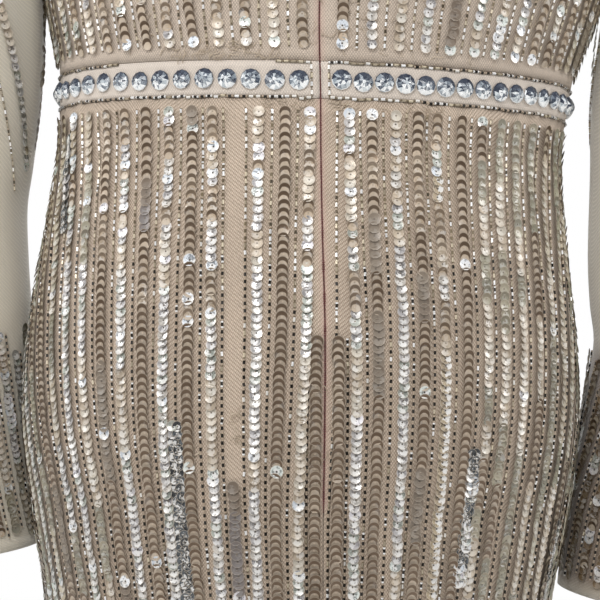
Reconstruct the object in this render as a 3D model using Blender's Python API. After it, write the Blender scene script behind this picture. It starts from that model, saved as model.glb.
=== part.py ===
"""Trumpet gown with long net sleeves, hollow as worn and held at the shoulders.

Every cut piece is a thin closed wall. The body walls are lofts through one table of level sections, so
neighbouring pieces share a surface and meet at seams a thread's width apart. The front faces -Y, and the
origin is midway between the shoulders, where the wearer carries the gown.
"""

import math
from collections import namedtuple

import bmesh
import bpy
from mathutils import Matrix, Vector

COLLECTION = "trumpet_gown"

CLOTH = 0.0016  # net over its lining
SLEEVE_CLOTH = 0.0014
SEAM_GAP = 0.0003
ZIP_GAP = 0.0012
ZIP_END_Z = -0.630
WAIST_TOP_Z = -0.3956
WAIST_BOTTOM_Z = -0.4150
UNDERARM_Z = -0.220
HEM_Z = -1.445

QUARTER_COLUMNS = 9
SKIRT_QUARTER_COLUMNS = 15
FLUTES = 10
CUP_HEIGHT = 0.020
CUP_X = 0.078
CUP_Z = -0.268
CUP_RADIUS = 0.052
NECK_LEVEL_X = 0.040  # rows that start this far out run straight to the armhole

STONE_FROM_SEAM = 0.0112
RIGHT_STONES = 35
RIGHT_STONE_PITCH = 0.0113
LEFT_STONES = 31
STONE_COLUMNS = (0.0, 0.22, 0.50, 0.78)
STONE_RISE = 0.0026
BAND_SEAT_RISE = 0.0004
BAND_HEIGHTS = (0.0, 0.24, 0.50, 0.76, 1.0)
BAND_STEPS = 720

TAPE_WIDTH = 0.024
TAPE_THICKNESS = 0.0010
TAPE_CLEARANCE = 0.0008

SLIDER_WIDTH = 0.0060
SLIDER_LENGTH = 0.0100
SLIDER_THICKNESS = 0.0022
SLIDER_BEVEL = 0.0004
SLIDER_BELOW_NECK = 0.0020
ARCH_WIDTH = 0.0016
ARCH_LENGTH = 0.0056
ARCH_HEIGHT = 0.0034
ARCH_BAR = 0.0011
ARCH_ROOT = 0.0008
WINDOW_WIDTH = 0.0048
TAB_THICKNESS = 0.0010
TAB_BAR = 0.0012
TAB_HOLE_WIDTH = 0.0028
TAB_HOLE_LENGTH = 0.0048
TAB_TOP_WIDTH = 0.0050
TAB_END_WIDTH = 0.0078
TAB_LENGTH = 0.0250
TAB_END_CORNERS = 10

# Level sections of the body from the underarm to the hem: half width, depth of the front and of the back,
# the middle's shift to the side, how far the seams turn round the body in degrees, and the hem's fluting
# as a share of the radius.
Section = namedtuple("Section", "z half_width front back centre_x turn fluting")
SECTIONS = (
    Section(-0.220, 0.1600, 0.108, 0.100, -0.0060, 0.0, 0.0),
    Section(-0.260, 0.1665, 0.113, 0.102, -0.0075, 0.0, 0.0),
    Section(-0.290, 0.1680, 0.114, 0.102, -0.0088, 0.0, 0.0),
    Section(-0.325, 0.1655, 0.111, 0.101, -0.0088, -0.4, 0.0),
    Section(-0.350, 0.1608, 0.107, 0.100, -0.0082, -0.7, 0.0),
    Section(-0.370, 0.1553, 0.104, 0.099, -0.0070, -0.4, 0.0),
    Section(-0.390, 0.1500, 0.102, 0.098, -0.0056, 0.4, 0.0),
    Section(-0.410, 0.1480, 0.101, 0.098, -0.0046, 1.2, 0.0),
    Section(-0.432, 0.1460, 0.102, 0.099, -0.0033, 2.0, 0.0),
    Section(-0.456, 0.1474, 0.105, 0.103, -0.0026, 2.6, 0.0),
    Section(-0.492, 0.1520, 0.110, 0.109, -0.0020, 3.4, 0.0),
    Section(-0.528, 0.1570, 0.114, 0.114, -0.0018, 4.1, 0.0),
    Section(-0.565, 0.1602, 0.117, 0.118, -0.0021, 4.3, 0.0),
    Section(-0.600, 0.1600, 0.118, 0.119, -0.0024, 4.4, 0.0),
    Section(-0.640, 0.1553, 0.116, 0.117, -0.0028, 4.6, 0.0),
    Section(-0.690, 0.1465, 0.112, 0.112, -0.0032, 5.2, 0.0),
    Section(-0.760, 0.1400, 0.108, 0.108, -0.0030, 5.5, 0.0),
    Section(-0.860, 0.1370, 0.107, 0.107, -0.0020, 5.0, 0.0),
    Section(-0.940, 0.1385, 0.110, 0.110, -0.0010, 5.0, 0.001),
    Section(-1.010, 0.1490, 0.122, 0.124, 0.0, 5.0, 0.006),
    Section(-1.100, 0.1790, 0.153, 0.158, 0.0, 5.0, 0.022),
    Section(-1.200, 0.2190, 0.192, 0.201, 0.0, 5.0, 0.046),
    Section(-1.300, 0.2590, 0.230, 0.243, 0.0, 5.0, 0.066),
    Section(-1.380, 0.2890, 0.258, 0.275, 0.0, 5.0, 0.080),
    Section(-1.445, 0.3110, 0.280, 0.300, 0.0, 5.0, 0.090),
)
BODICE_ROWS_Z = (WAIST_TOP_Z + SEAM_GAP, -0.370, -0.345, -0.317, -0.287, -0.255, UNDERARM_Z)
SKIRT_ROWS_Z = (
    HEM_Z, -1.330, -1.225, -1.135, -1.055, -0.980, -0.890, -0.785, -0.690, -0.630, -0.580, -0.530,
    -0.485, -0.445, WAIST_BOTTOM_Z - SEAM_GAP,
)

# Rows of the bodice above the underarm, for the +X half: from the middle or the neckline (inner) to the
# armhole (outer). roundness 1 follows the body's ellipse, 0 is the straight shoulder seam.
YokeRow = namedtuple("YokeRow", "centre_x inner_x inner_y inner_z outer_x outer_y outer_z roundness")
FRONT_YOKE = (
    YokeRow(-0.0055, 0.000, -0.1100, -0.187, 0.1560, -0.0300, -0.197, 0.9),
    YokeRow(-0.0050, 0.000, -0.1060, -0.155, 0.1520, -0.0460, -0.166, 0.8),
    YokeRow(-0.0040, 0.000, -0.0980, -0.124, 0.1510, -0.0520, -0.136, 0.7),
    YokeRow(-0.0030, 0.000, -0.0885, -0.097, 0.1540, -0.0500, -0.109, 0.6),
    YokeRow(-0.0020, 0.000, -0.0790, -0.074, 0.1600, -0.0420, -0.086, 0.5),
    YokeRow(-0.0010, 0.040, -0.0680, -0.062, 0.1680, -0.0310, -0.066, 0.35),
    YokeRow(0.0000, 0.059, -0.0420, -0.032, 0.1770, -0.0160, -0.049, 0.2),
    YokeRow(0.0000, 0.066, -SEAM_GAP / 2, 0.015, 0.1850, -SEAM_GAP / 2, -0.035, 0.0),
)
BACK_YOKE = (
    YokeRow(-0.0055, 0.000, 0.1010, -0.185, 0.1570, 0.0300, -0.197, 0.9),
    YokeRow(-0.0050, 0.000, 0.0990, -0.148, 0.1550, 0.0480, -0.166, 0.8),
    YokeRow(-0.0040, 0.000, 0.0930, -0.111, 0.1560, 0.0560, -0.135, 0.7),
    YokeRow(-0.0030, 0.000, 0.0840, -0.077, 0.1590, 0.0540, -0.108, 0.6),
    YokeRow(-0.0020, 0.000, 0.0730, -0.047, 0.1650, 0.0450, -0.085, 0.5),
    YokeRow(-0.0010, 0.000, 0.0620, -0.022, 0.1710, 0.0320, -0.066, 0.4),
    YokeRow(0.0000, 0.042, 0.0420, -0.006, 0.1780, 0.0160, -0.049, 0.2),
    YokeRow(0.0000, 0.066, SEAM_GAP / 2, 0.015, 0.1850, SEAM_GAP / 2, -0.035, 0.0),
)
BACK_NECK_ROW = len(BODICE_ROWS_Z) + 5

# Level rings of each sleeve from the underarm to the cuff: distance of the inner line from the middle,
# width, how far forward the middle of the ring hangs, and depth.
SleeveRing = namedtuple("SleeveRing", "z inner_x width centre_y depth")
LEFT_SLEEVE = (
    SleeveRing(-0.240, 0.1598, 0.104, 0.000, 0.104),
    SleeveRing(-0.262, 0.1625, 0.100, 0.000, 0.100),
    SleeveRing(-0.290, 0.1625, 0.098, -0.001, 0.098),
    SleeveRing(-0.325, 0.1600, 0.095, -0.004, 0.096),
    SleeveRing(-0.354, 0.1565, 0.093, -0.007, 0.094),
    SleeveRing(-0.400, 0.1570, 0.090, -0.011, 0.090),
    SleeveRing(-0.445, 0.1615, 0.086, -0.015, 0.088),
    SleeveRing(-0.470, 0.1645, 0.084, -0.017, 0.086),
    SleeveRing(-0.500, 0.1633, 0.082, -0.020, 0.084),
    SleeveRing(-0.530, 0.1612, 0.080, -0.023, 0.082),
    SleeveRing(-0.570, 0.1608, 0.079, -0.026, 0.080),
    SleeveRing(-0.610, 0.1600, 0.079, -0.029, 0.080),
    SleeveRing(-0.640, 0.1575, 0.082, -0.031, 0.082),
    SleeveRing(-0.672, 0.1535, 0.088, -0.033, 0.086),
)
RIGHT_SLEEVE = (
    SleeveRing(-0.240, 0.1740, 0.104, 0.000, 0.104),
    SleeveRing(-0.262, 0.1780, 0.100, 0.000, 0.100),
    SleeveRing(-0.290, 0.1802, 0.098, -0.001, 0.098),
    SleeveRing(-0.325, 0.1780, 0.095, -0.004, 0.096),
    SleeveRing(-0.354, 0.1737, 0.093, -0.007, 0.094),
    SleeveRing(-0.400, 0.1706, 0.090, -0.011, 0.090),
    SleeveRing(-0.445, 0.1713, 0.086, -0.015, 0.088),
    SleeveRing(-0.492, 0.1720, 0.083, -0.020, 0.084),
    SleeveRing(-0.520, 0.1742, 0.082, -0.022, 0.083),
    SleeveRing(-0.540, 0.1773, 0.081, -0.024, 0.082),
    SleeveRing(-0.565, 0.1750, 0.080, -0.026, 0.081),
    SleeveRing(-0.600, 0.1710, 0.079, -0.028, 0.080),
    SleeveRing(-0.638, 0.1650, 0.081, -0.031, 0.081),
    SleeveRing(-0.690, 0.1620, 0.088, -0.034, 0.086),
)
CAP_RINGS = 6
ARM_RINGS = 12
CUFF_SLANT = 0.014
CUFF_SLANT_POWER = 6
CAP_SETTLE = 1 / 3  # share of the cap over which the sleeve's inner line leaves the armhole

# Colour, roughness and metallic value of each finish.
FINISHES = {
    "beaded_net": ((0.50, 0.43, 0.34), 0.55, 0.0),
    "sheer_net": ((0.42, 0.36, 0.28), 0.70, 0.0),
    "crystal": ((0.62, 0.66, 0.70), 0.12, 0.3),
    "zip_tape": ((0.22, 0.09, 0.08), 0.65, 0.0),
    "zip_metal": ((0.60, 0.56, 0.48), 0.30, 0.9),
}

SLOPE_STEP = 1e-3
WELD_DIGITS = 6
SMOOTH_ANGLE = math.radians(40)


def clear_scene():
    for item in list(bpy.data.objects):
        bpy.data.objects.remove(item)


def finish(name):
    """Material of one finish, made the first time it is asked for."""
    material = bpy.data.materials.get(name)
    if material is None:
        colour, roughness, metallic = FINISHES[name]
        material = bpy.data.materials.new(name)
        material.use_nodes = True
        shader = material.node_tree.nodes["Principled BSDF"]
        shader.inputs["Base Color"].default_value = (*colour, 1.0)
        shader.inputs["Roughness"].default_value = roughness
        shader.inputs["Metallic"].default_value = metallic
    return material


def add_object(name, mesh_builder, finish_name, collection):
    """Object of the collection from a bmesh, which is freed."""
    bmesh.ops.recalc_face_normals(mesh_builder, faces=mesh_builder.faces)
    mesh = bpy.data.meshes.new(name)
    mesh_builder.to_mesh(mesh)
    mesh_builder.free()
    mesh.shade_smooth()
    mesh.set_sharp_from_angle(angle=SMOOTH_ANGLE)
    mesh.materials.append(finish(finish_name))
    item = bpy.data.objects.new(name, mesh)
    collection.objects.link(item)
    return item


def read(table, z):
    """Row of a table at a height, on smooth curves through its rows, which run downwards."""
    z = min(max(z, table[-1].z), table[0].z)
    low = next(i for i in range(1, len(table)) if table[i].z <= z)
    rows = [table[min(max(i, 0), len(table) - 1)] for i in range(low - 2, low + 2)]
    before, above, below, after = rows
    t = (above.z - z) / (above.z - below.z)
    values = []
    for a, b, c, d in zip(before, above, below, after):
        slope_b = (c - a) / (before.z - below.z) * (above.z - below.z)
        slope_c = (d - b) / (above.z - after.z) * (above.z - below.z)
        values.append(
            (2 * t**3 - 3 * t**2 + 1) * b + (t**3 - 2 * t**2 + t) * slope_b
            + (3 * t**2 - 2 * t**3) * c + (t**3 - t**2) * slope_c
        )
    return type(above)(*values)._replace(z=z)


def cup(x, z):
    """How far the cut of a cup stands out of the front."""
    reach = ((abs(x) - CUP_X) ** 2 + (z - CUP_Z) ** 2) / CUP_RADIUS**2
    return CUP_HEIGHT * math.exp(-reach)


def body(angle, z):
    """Outer point at an angle that the seams turn with: 0 at the +X side seam, 90 degrees at the back."""
    section = read(SECTIONS, z)
    angle += math.radians(section.turn)
    depth = section.back if math.sin(angle) > 0 else section.front
    ripple = 1 + section.fluting * math.cos(FLUTES * angle)
    x = section.half_width * ripple * math.cos(angle)
    y = depth * ripple * math.sin(angle)
    if y < 0:
        y += cup(x, z) * math.sin(angle)
    return Vector((section.centre_x + x, y, z))


def yoke_row(yoke, row):
    """Row of a yoke by its number above the underarm, which is row 0 and comes from the body."""
    section = read(SECTIONS, UNDERARM_Z)
    side = -1 if yoke is FRONT_YOKE else 1
    middle = section.back if yoke is BACK_YOKE else section.front
    first = YokeRow(section.centre_x, 0.0, side * middle, UNDERARM_Z, section.half_width, 0.0, UNDERARM_Z, 1.0)
    rows = (first,) + yoke
    row = min(max(row, 0.0), len(yoke))
    low = min(int(row), len(yoke) - 1)
    share = row - low
    return YokeRow(*(a + (b - a) * share for a, b in zip(rows[low], rows[low + 1])))


def bodice(yoke, half):
    """Surface of a quarter of the bodice: across from 0 at the middle to 1 at the side, and up by rows."""

    def surface(across, row):
        waist_rows = len(BODICE_ROWS_Z) - 1
        if row < waist_rows:
            low = min(max(int(row), 0), waist_rows - 1)
            z = BODICE_ROWS_Z[low] + (BODICE_ROWS_Z[low + 1] - BODICE_ROWS_Z[low]) * (row - low)
            middle = math.pi / 2 if yoke is BACK_YOKE else -math.pi / 2
            side = 0.0 if half > 0 else math.copysign(math.pi, middle)
            return body(middle + (side - middle) * across, z)
        line = yoke_row(yoke, row - waist_rows)
        turned = across * math.pi / 2
        share = (1 - line.roundness) * across + line.roundness * math.sin(turned)
        x = line.inner_x + (line.outer_x - line.inner_x) * share
        y = line.outer_y + (line.inner_y - line.outer_y) * math.cos(turned)
        level = max(1 - line.inner_x / NECK_LEVEL_X, 0.0)
        drop = level * (1 - math.cos(turned)) + (1 - level) * share
        z = line.inner_z + (line.outer_z - line.inner_z) * drop
        if yoke is FRONT_YOKE:
            y -= cup(x, z) * math.cos(turned)
        return Vector((line.centre_x + half * x, y, z))

    return surface


def normal(surface, u, v, facing):
    """Outward normal; facing is 1 where u, v and the outside are right-handed, else -1."""
    across = surface(u + SLOPE_STEP, v) - surface(u - SLOPE_STEP, v)
    up = surface(u, v + SLOPE_STEP) - surface(u, v - SLOPE_STEP)
    return (across.cross(up) * facing).normalized()


def layers(surface, grid, facing, thickness, in_plane=()):
    """Rows of pairs of outer and inner points. Where a row is in in_plane its normals have no Y part."""
    pairs = []
    for number, row in enumerate(grid):
        pairs.append([])
        for u, v in row:
            direction = normal(surface, u, v, facing)
            if number in in_plane:
                direction = Vector((direction.x, 0.0, direction.z)).normalized()
            point = surface(u, v)
            pairs[-1].append((point, point - direction * thickness))
    return pairs


def wall(name, patches, finish_name, collection):
    """Closed wall through grids of point pairs. Patches that share outer points are sewn into one."""
    cloth = bmesh.new()
    welded = {}

    def corners(pair):
        key = tuple(round(value, WELD_DIGITS) for value in pair[0])
        if key not in welded:
            welded[key] = [cloth.verts.new(point) for point in pair]
        return welded[key]

    outer_faces = []
    inner_of = {}
    for pairs in patches:
        for lower, upper in zip(pairs, pairs[1:]):
            for k in range(len(lower) - 1):
                ring = [corners(p) for p in (lower[k], lower[k + 1], upper[k + 1], upper[k])]
                outer_faces.append(cloth.faces.new([c[0] for c in ring]))
                cloth.faces.new([c[1] for c in reversed(ring)])
                inner_of.update(ring)
    rims = {edge for face in outer_faces for edge in face.edges if len(edge.link_faces) == 1}
    for a, b in [edge.verts for edge in rims]:
        cloth.faces.new([a, b, inner_of[b], inner_of[a]])
    return add_object(name, cloth, finish_name, collection)


def spread(first, last, count):
    """count + 1 numbers from first to last."""
    return [first + (last - first) * k / count for k in range(count + 1)]


def inset(surface, u, v, gap):
    """Step in u that leaves half of a gap."""
    speed = (surface(u + SLOPE_STEP, v) - surface(u - SLOPE_STEP, v)).length / (2 * SLOPE_STEP)
    return gap / 2 / speed


def back_gap(z):
    return ZIP_GAP if z > ZIP_END_Z else SEAM_GAP


def skirt_panel(name, first, last, collection):
    """Panel of the skirt between two seams, each an angle round the body."""
    grid = []
    for z in SKIRT_ROWS_Z:
        gaps = [back_gap(z) if math.isclose(seam % (2 * math.pi), math.pi / 2) else SEAM_GAP
                for seam in (first, last)]
        start = first + inset(body, first, z, gaps[0])
        end = last - inset(body, last, z, gaps[1])
        columns = round(SKIRT_QUARTER_COLUMNS * (last - first) / (math.pi / 2))
        grid.append([(angle, z) for angle in spread(start, end, columns)])
    return wall(name, [layers(body, grid, 1, CLOTH)], "beaded_net", collection)


def bodice_quarter(yoke, half, middle_gap):
    """Layers of a quarter of the bodice. The middle is left whole where its gap is None."""
    surface = bodice(yoke, half)
    top = len(BODICE_ROWS_Z) - 1 + len(yoke)
    grid = []
    for row in range(top + 1):
        start = 0.0
        if middle_gap is not None and row <= BACK_NECK_ROW:
            start = inset(surface, 0.0, row, middle_gap)
        end = 1.0
        if row <= len(BODICE_ROWS_Z) - 1:
            end -= inset(surface, 1.0, row, SEAM_GAP)
        grid.append([(across, row) for across in spread(start, end, QUARTER_COLUMNS)])
    facing = half if yoke is FRONT_YOKE else -half
    return layers(surface, grid, facing, CLOTH, in_plane=(top,))


def build_bodice(collection):
    halves = [bodice_quarter(FRONT_YOKE, half, None) for half in (1, -1)]
    wall("bodice_front", halves, "beaded_net", collection)
    for name, half in (("bodice_back_left", 1), ("bodice_back_right", -1)):
        wall(name, [bodice_quarter(BACK_YOKE, half, ZIP_GAP)], "beaded_net", collection)


def build_skirt(collection):
    quarter = math.pi / 2
    skirt_panel("skirt_front", 2 * quarter, 4 * quarter, collection)
    skirt_panel("skirt_back_left", 0.0, quarter, collection)
    skirt_panel("skirt_back_right", quarter, 2 * quarter, collection)


def armhole(half):
    """Points round an armhole from the underarm up the front and down the back."""
    rows = [len(BODICE_ROWS_Z) - 1 + k for k in range(len(FRONT_YOKE) + 1)]
    front = [bodice(FRONT_YOKE, half)(1.0, row) for row in rows]
    back = [bodice(BACK_YOKE, half)(1.0, row) for row in rows]
    front[0].y = front[-1].y = 0.0
    return front + back[-2:0:-1]


def sleeve_ring(table, half, hole, place):
    """Ring of a sleeve: place runs from 0 at the armhole to 1 under the arm and 2 at the cuff."""
    count = len(hole)
    bottom_hole, top_hole = hole[0], hole[count // 2]
    arm_top_z = table[1].z
    cap = min(place, 1.0)
    z = bottom_hole.z + (arm_top_z - bottom_hole.z) * cap
    if place > 1.0:
        z = arm_top_z + (table[-1].z - arm_top_z) * (place - 1.0)
    row = read(table, z)
    join = min(cap / CAP_SETTLE, 1.0)
    bottom_x = abs(bottom_hole.x) + (row.inner_x - abs(bottom_hole.x)) * join
    bottom = Vector((bottom_x, row.centre_y, z))
    slant = CUFF_SLANT * max(place - 1.0, 0.0) ** CUFF_SLANT_POWER
    arm_top = Vector((row.inner_x + row.width, row.centre_y, z - slant))
    lift = math.pi / 2 * cap
    shoulder_x = abs(top_hole.x)
    top = Vector((
        shoulder_x + (arm_top.x - shoulder_x) * math.sin(lift),
        row.centre_y,
        arm_top.z + (top_hole.z - arm_top.z) * math.cos(lift) if cap < 1.0 else arm_top.z,
    ))
    hole_span = top_hole - bottom_hole
    span = top - bottom
    ring = []
    for k, point in enumerate(hole):
        turned = 2 * math.pi * k / count
        share = (point - bottom_hole).dot(hole_span) / hole_span.dot(hole_span)
        beside = abs(point.x) - abs(bottom_hole.x) - share * (abs(top_hole.x) - abs(bottom_hole.x))
        share += ((1 - math.cos(turned)) / 2 - share) * cap
        sideways = point.y + (-row.depth / 2 * math.sin(turned) - point.y) * cap
        place_k = bottom + span * share + Vector((beside * (1 - cap) + SEAM_GAP, sideways, 0.0))
        ring.append(Vector((half * place_k.x, place_k.y, place_k.z)))
    return ring


def build_sleeve(name, table, half, collection):
    hole = armhole(half)
    count = len(hole)

    def surface(around, place):
        """Point round the sleeve, by the number of armhole points, between its own ring's corners."""
        ring = sleeve_ring(table, half, hole, min(max(place, 0.0), 2.0))
        low = math.floor(around)
        return ring[low % count].lerp(ring[(low + 1) % count], around - low)

    places = spread(0.0, 1.0, CAP_RINGS) + spread(1.0, 2.0, ARM_RINGS)[1:]
    grid = [[(around % count, place) for around in range(count + 1)] for place in places]
    wall(name, [layers(surface, grid, -half, SLEEVE_CLOTH)], "sheer_net", collection)


def stone_columns(length):
    """Columns of a band of a length: distance along it and place across a stone, 0 on plain net.

    The stones sit closer on the wearer's right, where the band starts, than on the left.
    """
    right_start = STONE_FROM_SEAM - RIGHT_STONE_PITCH / 2
    left_start = right_start + RIGHT_STONES * RIGHT_STONE_PITCH
    left_pitch = (length - STONE_FROM_SEAM - left_start) / (LEFT_STONES - 0.5)
    columns = [(0.0, 0.0)]
    for start, pitch, count in ((right_start, RIGHT_STONE_PITCH, RIGHT_STONES),
                                (left_start, left_pitch, LEFT_STONES)):
        columns += [(start + (k + share) * pitch, share) for k in range(count) for share in STONE_COLUMNS]
    return columns + [(left_start + LEFT_STONES * left_pitch, 0.0), (length, 0.0)]


def band_columns():
    """Angle and place across a stone of each column of the waistband, from seam to seam."""
    z = (WAIST_TOP_Z + WAIST_BOTTOM_Z) / 2
    seam = math.pi / 2
    start = seam + inset(body, seam, z, ZIP_GAP)
    fine = spread(start, start + 2 * math.pi - 2 * (start - seam), BAND_STEPS)
    lengths = [0.0]
    for a, b in zip(fine, fine[1:]):
        lengths.append(lengths[-1] + (body(b, z) - body(a, z)).length)
    columns = []
    step = 0
    for wanted, across in stone_columns(lengths[-1]):
        while step < len(fine) - 2 and lengths[step + 1] < wanted:
            step += 1
        part = (wanted - lengths[step]) / (lengths[step + 1] - lengths[step])
        columns.append((fine[step] + (fine[step + 1] - fine[step]) * part, across))
    return columns


def build_waistband(collection):
    """Ring open at the back, with a row of set stones raised in its outer points over a plain inside."""
    band = bmesh.new()
    outer, inner = [], []
    for height in BAND_HEIGHTS:
        z = WAIST_BOTTOM_Z + (WAIST_TOP_Z - WAIST_BOTTOM_Z) * height
        row = []
        for angle, across in band_columns():
            point, out = body(angle, z), normal(body, angle, z, 1)
            off_centre = math.hypot(2 * across - 1, 2 * height - 1)
            rise = STONE_RISE * max(0.0, 1 - off_centre**2)
            edge = height in (0.0, 1.0)
            row.append(band.verts.new(point + out * (0.0 if edge else BAND_SEAT_RISE + rise)))
            if edge:
                inner.append(band.verts.new(point - out * CLOTH))
        outer.append(row)
    columns = len(outer[0])
    inner = [inner[:columns], inner[columns:]]
    for k in range(columns - 1):
        for lower, upper in zip(outer, outer[1:]):
            band.faces.new([lower[k], lower[k + 1], upper[k + 1], upper[k]])
        band.faces.new([inner[1][k], inner[1][k + 1], inner[0][k + 1], inner[0][k]])
        band.faces.new([inner[0][k], inner[0][k + 1], outer[0][k + 1], outer[0][k]])
        band.faces.new([outer[-1][k], outer[-1][k + 1], inner[1][k + 1], inner[1][k]])
    open_ends = [edge for edge in band.edges if len(edge.link_faces) == 1]
    bmesh.ops.holes_fill(band, edges=open_ends, sides=0)
    return add_object("waistband", band, "crystal", collection)


def back_seam():
    """Points down the middle of the back on the outside of the cloth, row by row, to the zip's end."""
    surface = bodice(BACK_YOKE, 1)
    points = [surface(0.0, row) for row in range(BACK_NECK_ROW, -1, -1)]
    return points + [body(math.pi / 2, z) for z in reversed(SKIRT_ROWS_Z) if z >= ZIP_END_Z]


def build_zip_tape(collection):
    """Tape that the coils are woven on, behind the gap in the back."""
    depth = CLOTH + TAPE_CLEARANCE
    rows = []
    for row in range(BACK_NECK_ROW, -1, -1):
        rows.append([])
        for half in (1, -1):
            surface = bodice(BACK_YOKE, half)
            edge = inset(surface, 0.0, row, TAPE_WIDTH)
            for across in ((edge, 0.0) if half > 0 else (edge,)):
                rows[-1].append((surface(across, row), normal(surface, across, row, -half)))
    for z in [z for z in reversed(SKIRT_ROWS_Z) if z >= ZIP_END_Z]:
        seam = math.pi / 2
        edge = inset(body, seam, z, TAPE_WIDTH)
        angles = (seam - edge, seam, seam + edge)
        rows.append([(body(angle, z), normal(body, angle, z, 1)) for angle in angles])
    pairs = [[(point - out * depth, point - out * (depth + TAPE_THICKNESS)) for point, out in row]
             for row in rows]
    return wall("zip_tape", [pairs], "zip_tape", collection)


def block(width, depth, height, centre):
    """Bmesh box of a size about a centre."""
    shape = bmesh.new()
    bmesh.ops.create_cube(shape, size=1.0)
    bmesh.ops.scale(shape, vec=(width, depth, height), verts=shape.verts)
    bmesh.ops.translate(shape, vec=centre, verts=shape.verts)
    return shape


def slider_frame():
    """Place of the zip's pull bar at the back of the neck: X across, Y out of the cloth, Z up it."""
    seam = back_seam()
    along = seam[0] - seam[1]
    up = Vector((0.0, along.y, along.z)).normalized()
    out = Vector((0.0, up.z, -up.y))
    stand_off = SEAM_GAP + SLIDER_THICKNESS + (ARCH_HEIGHT - ARCH_BAR) / 2
    origin = seam[0] - up * (SLIDER_LENGTH / 2 + SLIDER_BELOW_NECK) + out * stand_off
    across = out.cross(up)
    turn = Matrix((across, out, up)).transposed().to_4x4()
    return Matrix.Translation(origin) @ turn


def join(target, tool, operation):
    """Boolean of two objects, kept as a modifier on the first."""
    change = target.modifiers.new(operation.lower(), "BOOLEAN")
    change.operation = operation
    change.object = tool
    change.solver = "EXACT"


def build_slider(collection, cutters):
    """Slider body with the arch that the pull tab's bar lies under."""
    window_height = ARCH_HEIGHT - ARCH_BAR
    body_y = -window_height / 2 - SLIDER_THICKNESS / 2
    base = block(SLIDER_WIDTH, SLIDER_THICKNESS, SLIDER_LENGTH, (0.0, body_y, 0.0))
    bmesh.ops.bevel(base, geom=base.edges, offset=SLIDER_BEVEL, segments=1, affect="EDGES")
    slider = add_object("zip_slider", base, "zip_metal", collection)
    arch_y = (ARCH_BAR - ARCH_ROOT) / 2
    arch_depth = window_height + ARCH_BAR + ARCH_ROOT
    arch = add_object("slider_arch", block(ARCH_WIDTH, arch_depth, ARCH_LENGTH, (0.0, arch_y, 0.0)),
                      "zip_metal", cutters)
    window = add_object("slider_window",
                        block(WINDOW_WIDTH, window_height, ARCH_LENGTH - 2 * ARCH_BAR, (0.0, 0.0, 0.0)),
                        "zip_metal", cutters)
    for tool in (arch, window):
        tool.hide_render = True
        tool.display_type = "WIRE"
    join(slider, arch, "UNION")
    join(slider, window, "DIFFERENCE")
    for item in (slider, arch, window):
        item.matrix_world = slider_frame()
    return slider


def build_pull(collection):
    """Flat tab hanging from the slider; its origin is on the bar that it swings about."""
    outline = bpy.data.curves.new("zip_pull", "CURVE")
    outline.dimensions = "2D"
    outline.fill_mode = "BOTH"
    outline.extrude = TAB_THICKNESS / 2
    top = TAB_BAR / 2
    round_end = [(TAB_END_WIDTH / 2 * math.cos(a), -TAB_LENGTH + TAB_END_WIDTH / 2 * (1 + math.sin(a)))
                 for a in spread(0.0, -math.pi, TAB_END_CORNERS)]
    edge = [(-TAB_TOP_WIDTH / 2, top), (TAB_TOP_WIDTH / 2, top), *round_end]
    hole = [(side * TAB_HOLE_WIDTH / 2, height) for side, height in
            ((-1, -top), (1, -top), (1, -top - TAB_HOLE_LENGTH), (-1, -top - TAB_HOLE_LENGTH))]
    for points in (edge, hole):
        spline = outline.splines.new("POLY")
        spline.points.add(len(points) - 1)
        spline.use_cyclic_u = True
        for corner, (x, height) in zip(spline.points, points):
            corner.co = (x, height, 0.0, 1.0)
    tab = bpy.data.objects.new("zip_pull", outline)
    outline.materials.append(finish("zip_metal"))
    collection.objects.link(tab)
    stand_up = Matrix.Rotation(math.pi / 2, 4, "X")
    tab.matrix_world = slider_frame() @ stand_up
    return tab


def main():
    clear_scene()
    collection = bpy.data.collections.new(COLLECTION)
    cutters = bpy.data.collections.new("cutters")
    for group in (collection, cutters):
        bpy.context.scene.collection.children.link(group)
    build_bodice(collection)
    build_waistband(collection)
    build_skirt(collection)
    build_sleeve("sleeve_left", LEFT_SLEEVE, 1, collection)
    build_sleeve("sleeve_right", RIGHT_SLEEVE, -1, collection)
    build_zip_tape(collection)
    build_slider(collection, cutters)
    build_pull(collection)


main()
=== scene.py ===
"""Trumpet gown: nude net set with upright rows of sequins and bugle beads, a crystal waistband, sheer sleeves
with beaded cuffs and a concealed zip down the back.

Laid out as an add-on and run as a script. Lengths are metres, +Z is up, the wearer faces -Y and +X is the
wearer's left. The wearer's shoulders carry the gown at the origin.
"""

import math
from collections import namedtuple

import bmesh
import bpy
import numpy as np
from bpy.props import FloatProperty, FloatVectorProperty, IntProperty, PointerProperty
from mathutils import Matrix, Vector


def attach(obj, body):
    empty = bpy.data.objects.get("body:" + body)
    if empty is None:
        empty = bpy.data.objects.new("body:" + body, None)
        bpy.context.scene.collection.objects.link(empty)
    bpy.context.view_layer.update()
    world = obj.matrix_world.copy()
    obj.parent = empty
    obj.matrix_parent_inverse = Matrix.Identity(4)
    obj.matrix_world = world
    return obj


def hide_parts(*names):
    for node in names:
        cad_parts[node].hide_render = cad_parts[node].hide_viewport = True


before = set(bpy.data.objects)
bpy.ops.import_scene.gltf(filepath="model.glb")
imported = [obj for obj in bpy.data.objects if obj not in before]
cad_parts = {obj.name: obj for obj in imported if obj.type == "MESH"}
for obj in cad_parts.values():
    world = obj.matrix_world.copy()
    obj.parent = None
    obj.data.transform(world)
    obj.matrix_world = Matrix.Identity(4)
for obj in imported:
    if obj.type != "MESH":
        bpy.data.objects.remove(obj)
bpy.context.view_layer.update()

bl_info = {
    "name": "Trumpet gown",
    "version": (1, 0, 0),
    "blender": (4, 5, 0),
    "location": "3D View > Sidebar > Gown",
    "description": "Dresses the trumpet gown's frame in net, sequins, beads and crystals",
    "category": "Object",
}

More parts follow.
